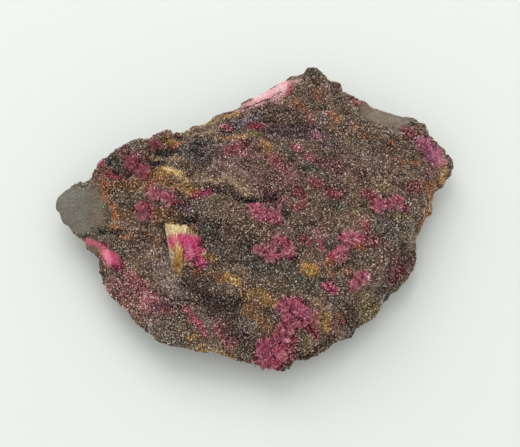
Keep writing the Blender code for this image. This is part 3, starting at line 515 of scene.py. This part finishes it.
def build_mesh(name, places, faces, material, colours):
    """A new object with these corners in millimetres, triangles and corner colours from 0 to 255."""
    mesh = bpy.data.meshes.new(name)
    mesh.vertices.add(len(places))
    mesh.vertices.foreach_set("co", (places * MM).astype(np.float32).ravel())
    mesh.loops.add(len(faces) * 3)
    mesh.loops.foreach_set("vertex_index", faces.astype(np.int32).ravel())
    mesh.polygons.add(len(faces))
    mesh.polygons.foreach_set("loop_start", np.arange(0, len(faces) * 3, 3, dtype=np.int32))
    mesh.update(calc_edges=True)
    mesh.shade_flat()
    set_colours(mesh, colours)
    mesh.materials.append(material)
    made = bpy.data.objects.new(name, mesh)
    bpy.context.scene.collection.objects.link(made)
    return made


def set_colours(mesh, colours, contrast=1.0):
    """Corner colours from 0 to 255, and in their alpha how much the fine specks of the stone show."""
    tint = mesh.color_attributes.new("tint", "FLOAT_COLOR", "POINT")
    values = np.ones((len(colours), 4), np.float32)
    values[:, :3] = linear(np.clip(colours, 0, 255))
    values[:, 3] = contrast
    tint.data.foreach_set("color", values.ravel())


def crystals(name, roots, tips, half_width, half_depth, waist, colours, tip_colours, material, sides=4):
    """Many crystals as one mesh: each is a root, corners round its waist, and a tip.

    Every argument from roots to tip_colours has a row or number for each crystal.
    """
    count = len(roots)
    axis = tips - roots
    unit = axis / np.linalg.norm(axis, axis=1, keepdims=True)
    across = np.cross(unit, draw.normal(size=(count, 3)))
    across /= np.linalg.norm(across, axis=1, keepdims=True)
    deep = np.cross(unit, across)
    middle = roots + axis * waist[:, None]
    turns = np.arange(sides) * 2 * math.pi / sides
    ring = [
        middle + across * (half_width * math.cos(turn))[:, None] + deep * (half_depth * math.sin(turn))[:, None]
        for turn in turns
    ]
    places = np.stack([roots, *ring, tips], 1)
    # painted shade and light: each crystal's root is painted at 0.8 of its colour as shade at its foot, and its tip
    # takes tip_colours, which the callers paint paler as light on the tip
    shades = np.stack([colours * 0.8] + [colours] * sides + [tip_colours], 1)
    around = [(k + 1, (k + 1) % sides + 1) for k in range(sides)]
    faces = np.array([(0, b, a) for a, b in around] + [(sides + 1, a, b) for a, b in around])
    faces = faces[None] + (np.arange(count) * (sides + 2))[:, None, None]
    made = build_mesh(name, places.reshape(-1, 3), faces.reshape(-1, 3), material, shades.reshape(-1, 3))
    local = [(0.5, 0.1)] + [(0.5 - 0.35 * math.cos(turn), 0.5 + 0.1 * math.sin(turn)) for turn in turns] + [(0.5, 0.9)]
    layout(made.data, count, np.array(local))
    return made


def layout(mesh, count, local):
    """A map that gives each crystal a small square of its own."""
    side = math.ceil(math.sqrt(count))
    corner = np.stack([np.arange(count) % side, np.arange(count) // side], -1) / side
    per_vertex = (corner[:, None] + local[None] / side).reshape(-1, 2)
    index = np.zeros(len(mesh.loops), np.int32)
    mesh.loops.foreach_get("vertex_index", index)
    uv = mesh.uv_layers.new(name="OFBake")
    uv.data.foreach_set("uv", per_vertex[index].astype(np.float32).ravel())


def mesh_arrays(mesh):
    """Places in millimetres, triangles, triangle areas in square millimetres and triangle normals of a mesh."""
    mesh.calc_loop_triangles()
    places = np.zeros(len(mesh.vertices) * 3, np.float32)
    mesh.vertices.foreach_get("co", places)
    places = places.reshape(-1, 3).astype(float) / MM
    faces = np.zeros(len(mesh.loop_triangles) * 3, np.int32)
    mesh.loop_triangles.foreach_get("vertices", faces)
    faces = faces.reshape(-1, 3)
    a, b, c = places[faces[:, 0]], places[faces[:, 1]], places[faces[:, 2]]
    normal = np.cross(b - a, c - a)
    area = np.linalg.norm(normal, axis=1) / 2
    return places, faces, area, normal / np.maximum(area * 2, 1e-9)[:, None]


def even_scatter(places, faces, weight, step):
    """Random points on triangles, at most one in each cube of that size, and the triangle of each."""
    spots, chosen = scatter(places, faces, weight, int(weight.sum() / step ** 2 * 4))
    kept = np.unique(np.floor(spots / step).astype(np.int64), axis=0, return_index=True)[1]
    return spots[kept], chosen[kept]


def scatter(places, faces, weight, count):
    """Random points on triangles, drawn by weight, and the triangle of each."""
    chosen = draw.choice(len(faces), size=count, p=weight / weight.sum())
    u, v = draw.random(count), draw.random(count)
    flip = u + v > 1
    u[flip], v[flip] = 1 - u[flip], 1 - v[flip]
    a, b, c = (places[faces[chosen, k]] for k in range(3))
    return a + (b - a) * u[:, None] + (c - a) * v[:, None], chosen


# Materials


def new_material(name):
    material = bpy.data.materials.new(name)
    material.use_nodes = True
    tree = material.node_tree
    return material, tree, tree.nodes["Principled BSDF"]


def node(tree, kind, **values):
    made = tree.nodes.new(kind)
    for key, value in values.items():
        if key in made.inputs:
            made.inputs[key].default_value = value
        else:
            setattr(made, key, value)
    return made


def stone_material():
    """Fine granular stone: the tint of the mesh, broken into dark and pale specks, with a rough, pitted face."""
    material, tree, shader = new_material("druse_rock")
    link = tree.links.new
    where = node(tree, "ShaderNodeTexCoord")
    tint = node(tree, "ShaderNodeAttribute", attribute_name="tint")
    speck = node(tree, "ShaderNodeTexVoronoi", Scale=4200.0)
    fine = node(tree, "ShaderNodeTexNoise", Scale=2600.0, Detail=3.0)
    link(where.outputs["Object"], speck.inputs["Vector"])
    link(where.outputs["Object"], fine.inputs["Vector"])
    split = node(tree, "ShaderNodeSeparateColor")
    link(speck.outputs["Color"], split.inputs["Color"])
    bright = node(tree, "ShaderNodeMapRange")
    bright.inputs["To Min"].default_value = 0.3
    bright.inputs["To Max"].default_value = 1.5
    link(split.outputs["Red"], bright.inputs["Value"])
    softened = node(tree, "ShaderNodeMix", data_type="FLOAT")
    softened.inputs["A"].default_value = 0.9
    link(tint.outputs["Alpha"], softened.inputs["Factor"])
    link(bright.outputs["Result"], softened.inputs["B"])
    mixed = node(tree, "ShaderNodeVectorMath", operation="SCALE")
    link(tint.outputs["Color"], mixed.inputs[0])
    link(softened.outputs["Result"], mixed.inputs["Scale"])
    link(mixed.outputs["Vector"], shader.inputs["Base Color"])
    rough = node(tree, "ShaderNodeMapRange")
    rough.inputs["To Min"].default_value = 0.5
    rough.inputs["To Max"].default_value = 0.95
    link(fine.outputs["Fac"], rough.inputs["Value"])
    link(rough.outputs["Result"], shader.inputs["Roughness"])
    bump = node(tree, "ShaderNodeBump", Strength=0.6, Distance=0.00012)
    link(speck.outputs["Distance"], bump.inputs["Height"])
    link(bump.outputs["Normal"], shader.inputs["Normal"])
    shader.inputs["Specular IOR Level"].default_value = 0.2
    return material


def crystal_material(name, roughness, specular):
    """Small crystals: the tint of each, with faint growth lines and uneven gloss."""
    material, tree, shader = new_material(name)
    link = tree.links.new
    where = node(tree, "ShaderNodeTexCoord")
    tint = node(tree, "ShaderNodeAttribute", attribute_name="tint")
    line = node(tree, "ShaderNodeTexNoise", Scale=5200.0, Detail=2.0)
    link(where.outputs["Object"], line.inputs["Vector"])
    bright = node(tree, "ShaderNodeMapRange")
    bright.inputs["To Min"].default_value = 0.75
    bright.inputs["To Max"].default_value = 1.25
    link(line.outputs["Fac"], bright.inputs["Value"])
    mixed = node(tree, "ShaderNodeVectorMath", operation="SCALE")
    link(tint.outputs["Color"], mixed.inputs[0])
    link(bright.outputs["Result"], mixed.inputs["Scale"])
    link(mixed.outputs["Vector"], shader.inputs["Base Color"])
    gloss = node(tree, "ShaderNodeMapRange")
    gloss.inputs["To Min"].default_value = roughness - 0.15
    gloss.inputs["To Max"].default_value = roughness + 0.15
    link(line.outputs["Fac"], gloss.inputs["Value"])
    link(gloss.outputs["Result"], shader.inputs["Roughness"])
    shader.inputs["Specular IOR Level"].default_value = specular
    return material


STONE = stone_material()
GRAIN = crystal_material("druse_grains", 0.6, 0.15)
NEEDLE = crystal_material("erythrite_needles", 0.5, 0.2)


# The rock

VOXEL = 0.27
GAP_PAINTED_SHADE = 20.0          # painted shade: how much darker the stone is painted between the grains, where they shade it
SMOOTH_SHADE = 0.92       # how much darker the smooth faces are than their tint, as grains shade the rest

# Sharp relief that the grains follow: a line, half its width, and its height, below zero for a crevice
CREASES = [
    ([(-7.1, 2.9), (-5.1, 2.2), (-2.6, 1.0), (1.1, 1.1), (3.2, 1.7)], 1.1, -0.8),
    ([(-7.2, 4.6), (-5.1, 4.8), (-2.7, 3.1), (0.1, 2.4)], 1.3, 0.45),
    ([(-27.0, -3.2), (-22.8, -3.5), (-18.1, -5.0)], 0.7, -0.4),
    ([(-26.4, -2.0), (-22.1, -2.0)], 0.7, 0.3),
    ([(-11.8, -13.4), (-8.7, -15.4), (-5.6, -16.9), (-2.6, -17.5)], 0.9, -0.5),
    ([(-14.9, -15.7), (-11.8, -16.3), (-9.4, -16.9)], 0.7, -0.4),
    ([(-13.6, -12.0), (-11.1, -13.6), (-8.4, -15.0)], 0.9, 0.4),
    ([(6.9, -25.7), (9.7, -24.6), (11.0, -23.3), (12.7, -22.2)], 0.7, -0.5),
    ([(26.2, 15.8), (30.3, 18.9)], 0.7, -0.4),
    ([(23.4, -8.6), (22.3, -11.6), (21.0, -14.3)], 0.7, -0.35),
    ([(24.6, -7.0), (23.5, -10.4)], 0.7, 0.35),
    ([(-18.4, 9.5), (-16.9, 7.8), (-18.3, 5.6)], 0.7, -0.3),
    ([(-15.5, 6.5), (-13.1, 6.0), (-10.9, 3.3)], 0.9, 0.35),
    ([(-17.8, 3.0), (-15.4, 2.4), (-13.3, 1.6), (-11.3, 1.1)], 0.7, -0.3),
    ([(-26.4, 5.4), (-25.7, 2.9)], 0.9, -0.35),
    ([(3.9, -27.6), (5.2, -26.4)], 0.7, -0.4),
    ([(13.8, -22.0), (15.9, -20.4)], 0.7, 0.3),
    ([(15.1, -18.8), (16.2, -20.3)], 0.7, -0.35),
    ([(-25.8, 7.6), (-24.0, 6.9)], 0.7, -0.3),
    ([(-12.6, -2.2), (-10.2, -2.4)], 0.7, -0.4),
    ([(1.1, 12.2), (3.6, 10.8), (5.7, 10.4)], 0.9, 0.3),
    ([(1.2, 14.2), (5.7, 13.6)], 0.7, -0.3),
    ([(-8.4, -5.0), (-6.7, -7.5)], 0.7, -0.3),
    ([(-5.1, 7.5), (-1.6, 5.7)], 0.9, 0.3),
]

# The clean fracture along the far side, where the rock's edge runs straight
CALM_EDGE = [(-10.0, 17.0), (-2.8, 20.4), (1.2, 22.6), (4.4, 25.2), (7.3, 27.5), (11.6, 28.3)]


def fine_copy(node_name, name, voxel):
    """A copy of a CAD solid with an even, fine mesh."""
    made = bpy.data.objects.new(name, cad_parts[node_name].data.copy())
    bpy.context.scene.collection.objects.link(made)
    made.data.materials.clear()
    remesh = made.modifiers.new("fine", "REMESH")
    remesh.mode = "VOXEL"
    remesh.voxel_size = voxel * MM
    graph = bpy.context.evaluated_depsgraph_get()
    graph.update()
    fine = bpy.data.meshes.new_from_object(made.evaluated_get(graph))
    made.modifiers.clear()
    old = made.data
    made.data = fine
    bpy.data.meshes.remove(old)
    fine.name = name
    return made


def vertex_normals(mesh):
    normals = np.zeros(len(mesh.vertices) * 3, np.float32)
    mesh.vertex_normals.foreach_get("vector", normals)
    return normals.reshape(-1, 3).astype(float)


def make_rock():
    """A finer copy of the CAD rock, with the relief of its broken, granular face."""
    rock = fine_copy("matrix", "rock", VOXEL)
    fine = rock.data
    places = mesh_arrays(fine)[0]
    normals = vertex_normals(fine)
    top = ramp(normals[:, 2], -0.1, 0.35)
    plain = smooth_face(places)
    lumps = 1 - cells(places, 1.15, 3)[0]
    beads = 1 - cells(places, 0.62, 4)[0]
    rise = 0.42 * fractal(places, 3.4, 13) + 0.2 * (lumps - 0.5) + 0.14 * (beads - 0.5)
    pits = -0.4 * ramp(fractal(places, 1.7, 19, 3), 0.3, 0.75)
    folds = -0.38 * (1 - ramp(np.abs(fractal(places, 4.2, 23, 3)), 0.0, 0.16))
    rise = (rise + pits + folds) * (1 - 0.85 * plain) * (1 - 0.85 * calm(places)) * (0.35 + 0.65 * top)
    for line, width, height in CREASES:
        rise += height * (1 - ramp(line_distance(places, line) / width, 0.15, 1.0)) * top
    low = ramp(places[:, 2], 0.05, 1.2)
    moved = places + normals * (rise * low)[:, None]
    moved[:, 2] = np.maximum(moved[:, 2], 0.0)
    fine.vertices.foreach_set("co", (moved * MM).astype(np.float32).ravel())
    fine.update()
    colour, bloom = paint(moved, normals)
    # painted shade: the stone is painted darker where its relief is low, in pits, folds and crevices, down to 0.6 of
    # its colour, and darker again between the grains
    shade = 0.6 + 0.4 * ramp(rise, -0.5, 0.4)
    shade += (SMOOTH_SHADE - shade) * plain
    set_colours(fine, colour * shade[:, None] - GAP_PAINTED_SHADE * (1 - plain)[:, None], 1 - 0.6 * plain)
    fine.materials.append(STONE)
    fine.shade_flat()
    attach(rock, "root")
    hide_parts("matrix")
    return rock


def calm(places):
    """1 by the straight far edge, 0 elsewhere."""
    return 1 - ramp(line_distance(places, CALM_EDGE), 1.0, 3.4)


def smooth_face(places):
    """1 on the smooth fracture faces, where no grains grew, 0 elsewhere."""
    tongue = 1 - ramp(line_distance(places, [(-33.0, 1.6), (-30.0, 1.0)]), 3.2, 5.4)
    facet = 1 - ramp(line_distance(places, [(20.6, 19.0), (25.4, 17.6)]), 1.6, 2.8)
    return np.maximum(tongue, facet)


rock = make_rock()
ROCK = mesh_arrays(rock.data)
rock_tree = BVHTree.FromPolygons([Vector(p) for p in ROCK[0]], ROCK[1].tolist())


# The druse

GRAIN_STEP = 0.3
SIDE_STEP = 0.55
PIECE_GRAINS = 30000
GRAIN_TONE = 34.0         # how much lighter or darker one grain is than the next, of 255
GRAIN_LIFT = 12.0
GRAIN_TONES = (-58.0, 72.0)


def pick(chances, count):
    """A palette colour for each of count crystals, drawn by chance."""
    names = list(chances)
    odds = np.array([chances[n] for n in names], float)
    drawn = draw.choice(len(names), size=count, p=odds / odds.sum())
    return np.array([PALETTE[n] for n in names], float)[drawn]


def make_druse():
    """The coat of fine grains that covers the broken faces, each with its own shade."""
    places, faces, area, normal = ROCK
    top = ramp(normal[:, 2], 0.0, 0.35)
    centre = places[faces].mean(1)
    for label, weight, step in (
        ("top", area * top, GRAIN_STEP),
        ("side", area * (1 - top) * ramp(centre[:, 2], 0.25, 0.8), SIDE_STEP),
    ):
        spots, chosen = even_scatter(places, faces, weight, step)
        cover = (1 - 0.985 * smooth_face(spots)) * (1 - 0.5 * calm(spots))
        kept = draw.random(len(spots)) < cover
        spots, chosen = spots[kept], chosen[kept]
        count = len(spots)
        facing = normal[chosen]
        colour, bloom = paint(spots, facing)
        size = np.clip(np.exp(draw.normal(-1.95, 0.25, count)), 0.08, 0.24)
        lean = facing + draw.normal(0, 0.4, (count, 3))
        lean /= np.linalg.norm(lean, axis=1, keepdims=True)
        longer = (1 + 0.9 * bloom * draw.random(count)) * (1 - 0.5 * calm(spots))
        stray = pick({"darkbrown": 2, "tan": 2, "orange": 1, "mauve": 1, "grey": 2, "olive": 2}, count)
        share = np.where(draw.random(count) < 0.3, draw.uniform(0.1, 0.4, count), 0.0) * (1 - bloom)
        colour += (stray - colour) * share[:, None]
        tone = np.clip(draw.normal(GRAIN_LIFT, GRAIN_TONE, count), *GRAIN_TONES)
        colour += tone[:, None]
        pale = 0.4 * bloom * ramp(tone, 20, 60)
        colour += (np.array(PALETTE["palepink"]) - colour) * pale[:, None]
        # painted glints: one grain in five hundred is painted white as a sparkle of light
        glint = draw.random(count) < 0.002
        colour[glint] = PALETTE["white"]
        roots = spots - lean * (size * 0.6)[:, None]
        tips = spots + lean * (size * longer)[:, None]
        for start in range(0, count, PIECE_GRAINS):
            part = slice(start, start + PIECE_GRAINS)
            # painted light: each grain's tip is painted 1.1 times as light as the grain
            made = crystals(
                f"druse_{label}_{start // PIECE_GRAINS + 1}",
                roots[part], tips[part], size[part] * 1.15, size[part] * draw.uniform(0.8, 1.15, len(size[part])),
                draw.uniform(0.35, 0.6, len(size[part])), colour[part], colour[part] * 1.1, GRAIN, 3,
            )
            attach(made, "root")


make_druse()


# The erythrite

TUFTS = {
    "lower_patch": [(5.0, -18.1), (7.2, -18.8), (9.6, -20.0), (5.9, -20.7), (4.2, -22.5), (1.8, -24.2), (3.7, -25.1),
                    (2.2, -26.0)],
    "center_rosette": [(0.8, -8.4), (2.5, -9.1), (4.1, -6.4), (5.6, -8.3)],
    "middle_rosette": [(0.5, -1.4), (3.6, -2.0)],
    "left_tuft": [(-19.1, -0.7)],
    "left_streak": [(-17.5, 1.9), (-15.0, 1.0)],
    "block_tufts": [(-21.7, 8.4), (-19.2, 6.2)],
    "far_left_tuft": [(-17.5, 11.0)],
    "notch_crust": [(-28.6, -5.2), (-26.3, -6.6), (-24.2, -8.5)],
    "far_crust": [(-1.7, 20.1), (0.4, 20.6), (2.8, 21.5), (5.2, 22.7)],
    "shoulder_patch": [(29.6, 11.9), (31.4, 9.8)],
    "right_rosette": [(21.5, 0.0), (23.9, 0.2)],
    "right_tufts": [(16.2, -6.6), (14.6, -9.2)],
    "right_streak": [(16.7, -14.6), (18.1, -13.4)],
}
BLEND = {"rose": 4, "magenta": 2, "pinkpale": 3, "palepink": 1.5, "crimson": 1.5, "umber": 1}
BLENDS = {
    "shoulder_patch": {"violetpink": 5, "magenta": 1, "pinkpale": 3, "mauve": 1},
    "block_tufts": {"crimson": 4, "magenta": 2, "rose": 2, "wine": 2, "umber": 1},
    "far_left_tuft": {"crimson": 4, "rose": 2, "wine": 2, "umber": 1},
}
NEEDLES_PER_MM2 = 48
CRUST_STEP = 0.24
CRUSTS = {"far_crust": "pale_erythrite", "notch_crust": "erythrite"}


def on_rock(x, y):
    """The point of the rock below or above (x, y)."""
    hit = rock_tree.ray_cast(Vector((x, y, 30.0)), Vector((0, 0, -1)))
    if hit[0] is None:
        hit = rock_tree.find_nearest(Vector((x, y, 6.0)))
    return np.array(hit[0])


def make_sprays(name, tufts):
    """Radiating needles that fill the form of one CAD patch and reach its faces."""
    places, faces, area, normal = mesh_arrays(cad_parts[name].data)
    weight = area * (normal[:, 2] > -0.15)
    count = int(weight.sum() * NEEDLES_PER_MM2)
    tips, chosen = scatter(places, faces, weight, count)
    centres = np.array([on_rock(x, y) for x, y in tufts])
    nearest = np.argmin(np.linalg.norm(tips[:, None, :2] - centres[None, :, :2], axis=2), axis=1)
    roots = centres[nearest] + draw.normal(0, 0.35, (count, 3)) * (1, 1, 0.2)
    reach = tips - roots
    distance = np.linalg.norm(reach, axis=1)
    unit = reach / distance[:, None]
    unit += draw.normal(0, 0.25, (count, 3))
    unit /= np.linalg.norm(unit, axis=1, keepdims=True)
    sunk = draw.random(count) ** 2 * 0.8
    tips[:, 2] += (centres[nearest][:, 2] + 0.3 - tips[:, 2]) * sunk
    tips = tips + unit * draw.uniform(-0.15, 0.12, count)[:, None]
    length = np.minimum(distance, draw.uniform(0.4, 1.3, count))
    roots = tips - unit * length[:, None]
    colour = paint(tips, np.tile((0.0, 0.0, 1.0), (count, 1)))[0]
    colour += (pick(BLENDS.get(name, BLEND), count) - colour) * 0.6
    # painted shade: needles sunk deep into the tuft are painted up to 30 darker
    colour += (draw.uniform(-50, 55, count) - 30 * sunk + 20 * smooth_noise(tips, 0.9, 77))[:, None]
    # painted highlights: the tips of some needles are painted toward pale pink
    pale = np.array(PALETTE["palepink"])
    tip_colour = colour + (pale - colour) * (0.8 * draw.random(count) ** 2)[:, None]
    made = crystals(
        name + "_sprays", roots, tips, draw.uniform(0.045, 0.095, count), draw.uniform(0.03, 0.05, count),
        draw.uniform(0.45, 0.8, count), colour, tip_colour, NEEDLE,
    )
    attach(made, "root")
    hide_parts(name)


def make_crust(name):
    """A thin, close-grained coat of crystals, smooth as a skin."""
    crust = fine_copy(name, name + "_coat", 0.22)
    mesh = crust.data
    places = mesh_arrays(mesh)[0]
    normals = vertex_normals(mesh)
    rise = 0.1 * fractal(places, 0.9, 51, 3)
    mesh.vertices.foreach_set("co", ((places + normals * rise[:, None]) * MM).astype(np.float32).ravel())
    mesh.update()
    colour = paint(places, np.tile((0.0, 0.0, 1.0), (len(places), 1)))[0]
    set_colours(mesh, colour * (1 + 0.12 * fractal(places, 0.8, 53, 3))[:, None], 0.3)
    mesh.materials.append(STONE)
    mesh.shade_flat()
    places, faces, area, normal = mesh_arrays(mesh)
    spots, chosen = even_scatter(places, faces, area * (normal[:, 2] > -0.2), CRUST_STEP)
    count = len(spots)
    lean = normal[chosen] + draw.normal(0, 0.35, (count, 3))
    lean /= np.linalg.norm(lean, axis=1, keepdims=True)
    size = draw.uniform(0.09, 0.16, count)
    colour = paint(spots, np.tile((0.0, 0.0, 1.0), (count, 1)))[0] + draw.normal(4, 17, count)[:, None]
    # painted light: each grain's tip is painted 1.06 times as light as the grain
    coat = crystals(
        name + "_grains", spots - lean * (size * 0.6)[:, None], spots + lean * (size * 1.2)[:, None],
        size, size * 0.9, draw.uniform(0.35, 0.6, count), colour, colour * 1.06, GRAIN, 3,
    )
    for piece in (crust, coat):
        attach(piece, "root")
    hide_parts(name)


for patch, tufts in TUFTS.items():
    if patch in CRUSTS:
        make_crust(patch)
    else:
        make_sprays(patch, tufts)


FAN_FOOT = (-13.4, -11.5)
FAN_AREAS = [
    ("magenta", 1.0, 1.6, [(-13.5, -6.6), (-11.1, -7.1), (-9.1, -7.4)]),
    ("magenta", 0.95, 1.4, [(-11.4, -9.3), (-9.4, -10.6)]),
    ("pinkpale", 0.7, 0.7, [(-11.4, -8.2), (-10.8, -9.9)]),
    ("wine", 0.8, 0.5, [(-10.8, -10.4), (-9.8, -10.6)]),
    ("ochre", 0.9, 0.8, [(-13.2, -7.8), (-12.8, -9.5), (-13.2, -11.5)]),
    ("yellowtan", 0.5, 0.5, [(-13.9, -5.0), (-13.2, -7.8)]),
    ("yellowtan", 1.0, 0.7, [(-15.0, -3.3), (-13.6, -4.3), (-12.2, -3.8), (-10.2, -3.3)]),
    ("yellowtan", 0.8, 0.5, [(-14.6, -4.8), (-11.9, -4.9)]),
]
FAN_LATHS = 7000
FAN_TUFT = (-10.4, -9.7)
TUFT_REACH = 2.4


def make_fan():
    """The fan-shaped flake: laths that spread from its foot, magenta inside a tan rim."""
    places, faces, area, normal = mesh_arrays(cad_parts["fan"].data)
    tips, chosen = scatter(places, faces, area * (normal[:, 2] > -0.2), FAN_LATHS)
    foot = on_rock(*FAN_FOOT)
    tuft = on_rock(*FAN_TUFT)
    beside = np.linalg.norm(tips[:, :2] - tuft[:2], axis=1) < TUFT_REACH
    from_tuft = beside & (tips[:, 0] > -12.2)
    count = len(tips)
    unit = tips - np.where(from_tuft[:, None], tuft, foot)
    distance = np.linalg.norm(unit, axis=1)
    unit /= distance[:, None]
    unit += draw.normal(0, 1, (count, 3)) * np.where(from_tuft, 0.25, 0.06)[:, None]
    unit /= np.linalg.norm(unit, axis=1, keepdims=True)
    length = np.minimum(distance, draw.uniform(0.8, 2.4, count) * np.where(from_tuft, 0.5, 1.0))
    angle = np.arctan2(tips[:, 1] - foot[1], tips[:, 0] - foot[0])
    ragged = 0.5 + 0.5 * smooth_noise(np.stack([angle * 8, angle * 0, angle * 0], -1), 1.0, 83)
    tips = tips - unit * (np.where(from_tuft, 0.1, 0.9) * ragged * (distance / distance.max()) ** 2)[:, None]
    roots = tips - unit * length[:, None]
    colour = np.tile(np.array(PALETTE["tan"], float), (count, 1))
    for name, strength, width, line in FAN_AREAS:
        far = line_distance(tips + draw.normal(0, 0.15, tips.shape), line) / width
        weight = strength * (1 - ramp(far, 0.6, 1.2))
        colour += (np.array(PALETTE[name]) - colour) * weight[:, None]
    colour += draw.uniform(-55, 55, count)[:, None]
    # painted light: each lath's tip is painted 1.15 times as light as the lath
    made = crystals(
        "fan_flake", roots, tips, draw.uniform(0.06, 0.12, count), draw.uniform(0.03, 0.05, count),
        draw.uniform(0.5, 0.85, count), colour, colour * 1.15, NEEDLE,
    )
    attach(made, "root")
    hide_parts("fan")


make_fan()


# The stage

CAMERA_TARGET = (0.8, -1.0, 6.0)
CAMERA_ELEVATION = 68.0
CAMERA_DISTANCE = 320.0
LENS = 126.6


def make_stage():
    bpy.ops.mesh.primitive_plane_add(size=6.0, location=(0, 0, -0.00002))
    floor = bpy.context.active_object
    floor.name = "floor"
    material, tree, shader = new_material("pale_paper")
    link = tree.links.new
    where = node(tree, "ShaderNodeTexCoord")
    cloud = node(tree, "ShaderNodeTexNoise", Scale=3.0, Detail=2.0)
    link(where.outputs["Object"], cloud.inputs["Vector"])
    tone = node(tree, "ShaderNodeMix", data_type="RGBA")
    tone.inputs["A"].default_value = (*FLOOR_COLOUR, 1)
    tone.inputs["B"].default_value = (*(c * 0.985 for c in FLOOR_COLOUR), 1)
    link(cloud.outputs["Fac"], tone.inputs["Factor"])
    link(tone.outputs["Result"], shader.inputs["Base Color"])
    shader.inputs["Roughness"].default_value = 0.9
    shader.inputs["Specular IOR Level"].default_value = 0.1
    floor.data.materials.append(material)


FLOOR_COLOUR = (0.80, 0.83, 0.79)


def add_light(name, place, size, power):
    lamp = bpy.data.lights.new(name, "AREA")
    lamp.shape = "DISK"
    lamp.size = size
    lamp.energy = power
    made = bpy.data.objects.new(name, lamp)
    made.location = place
    made.rotation_euler = (-Vector(place)).to_track_quat("-Z", "Y").to_euler()
    bpy.context.scene.collection.objects.link(made)


def make_light():
    world = bpy.data.worlds.new("studio")
    world.use_nodes = True
    sky = world.node_tree.nodes["Background"]
    sky.inputs["Color"].default_value = (1.0, 1.0, 1.0, 1)
    sky.inputs["Strength"].default_value = 0.86
    bpy.context.scene.world = world
    add_light("window", (-0.12, 0.42, 0.5), 0.55, 1.6)
    bpy.context.scene.view_settings.view_transform = "Standard"


def make_camera():
    e = math.radians(CAMERA_ELEVATION)
    back = Vector((0, -math.cos(e), math.sin(e)))
    camera = bpy.data.cameras.new("camera")
    camera.lens = LENS
    camera.clip_start = 0.01
    camera.clip_end = 20
    made = bpy.data.objects.new("camera", camera)
    made.location = (Vector(CAMERA_TARGET) + back * CAMERA_DISTANCE) * MM
    made.rotation_euler = (-back).to_track_quat("-Z", "Y").to_euler()
    bpy.context.scene.collection.objects.link(made)
    bpy.context.scene.camera = made


make_stage()
make_light()
make_camera()
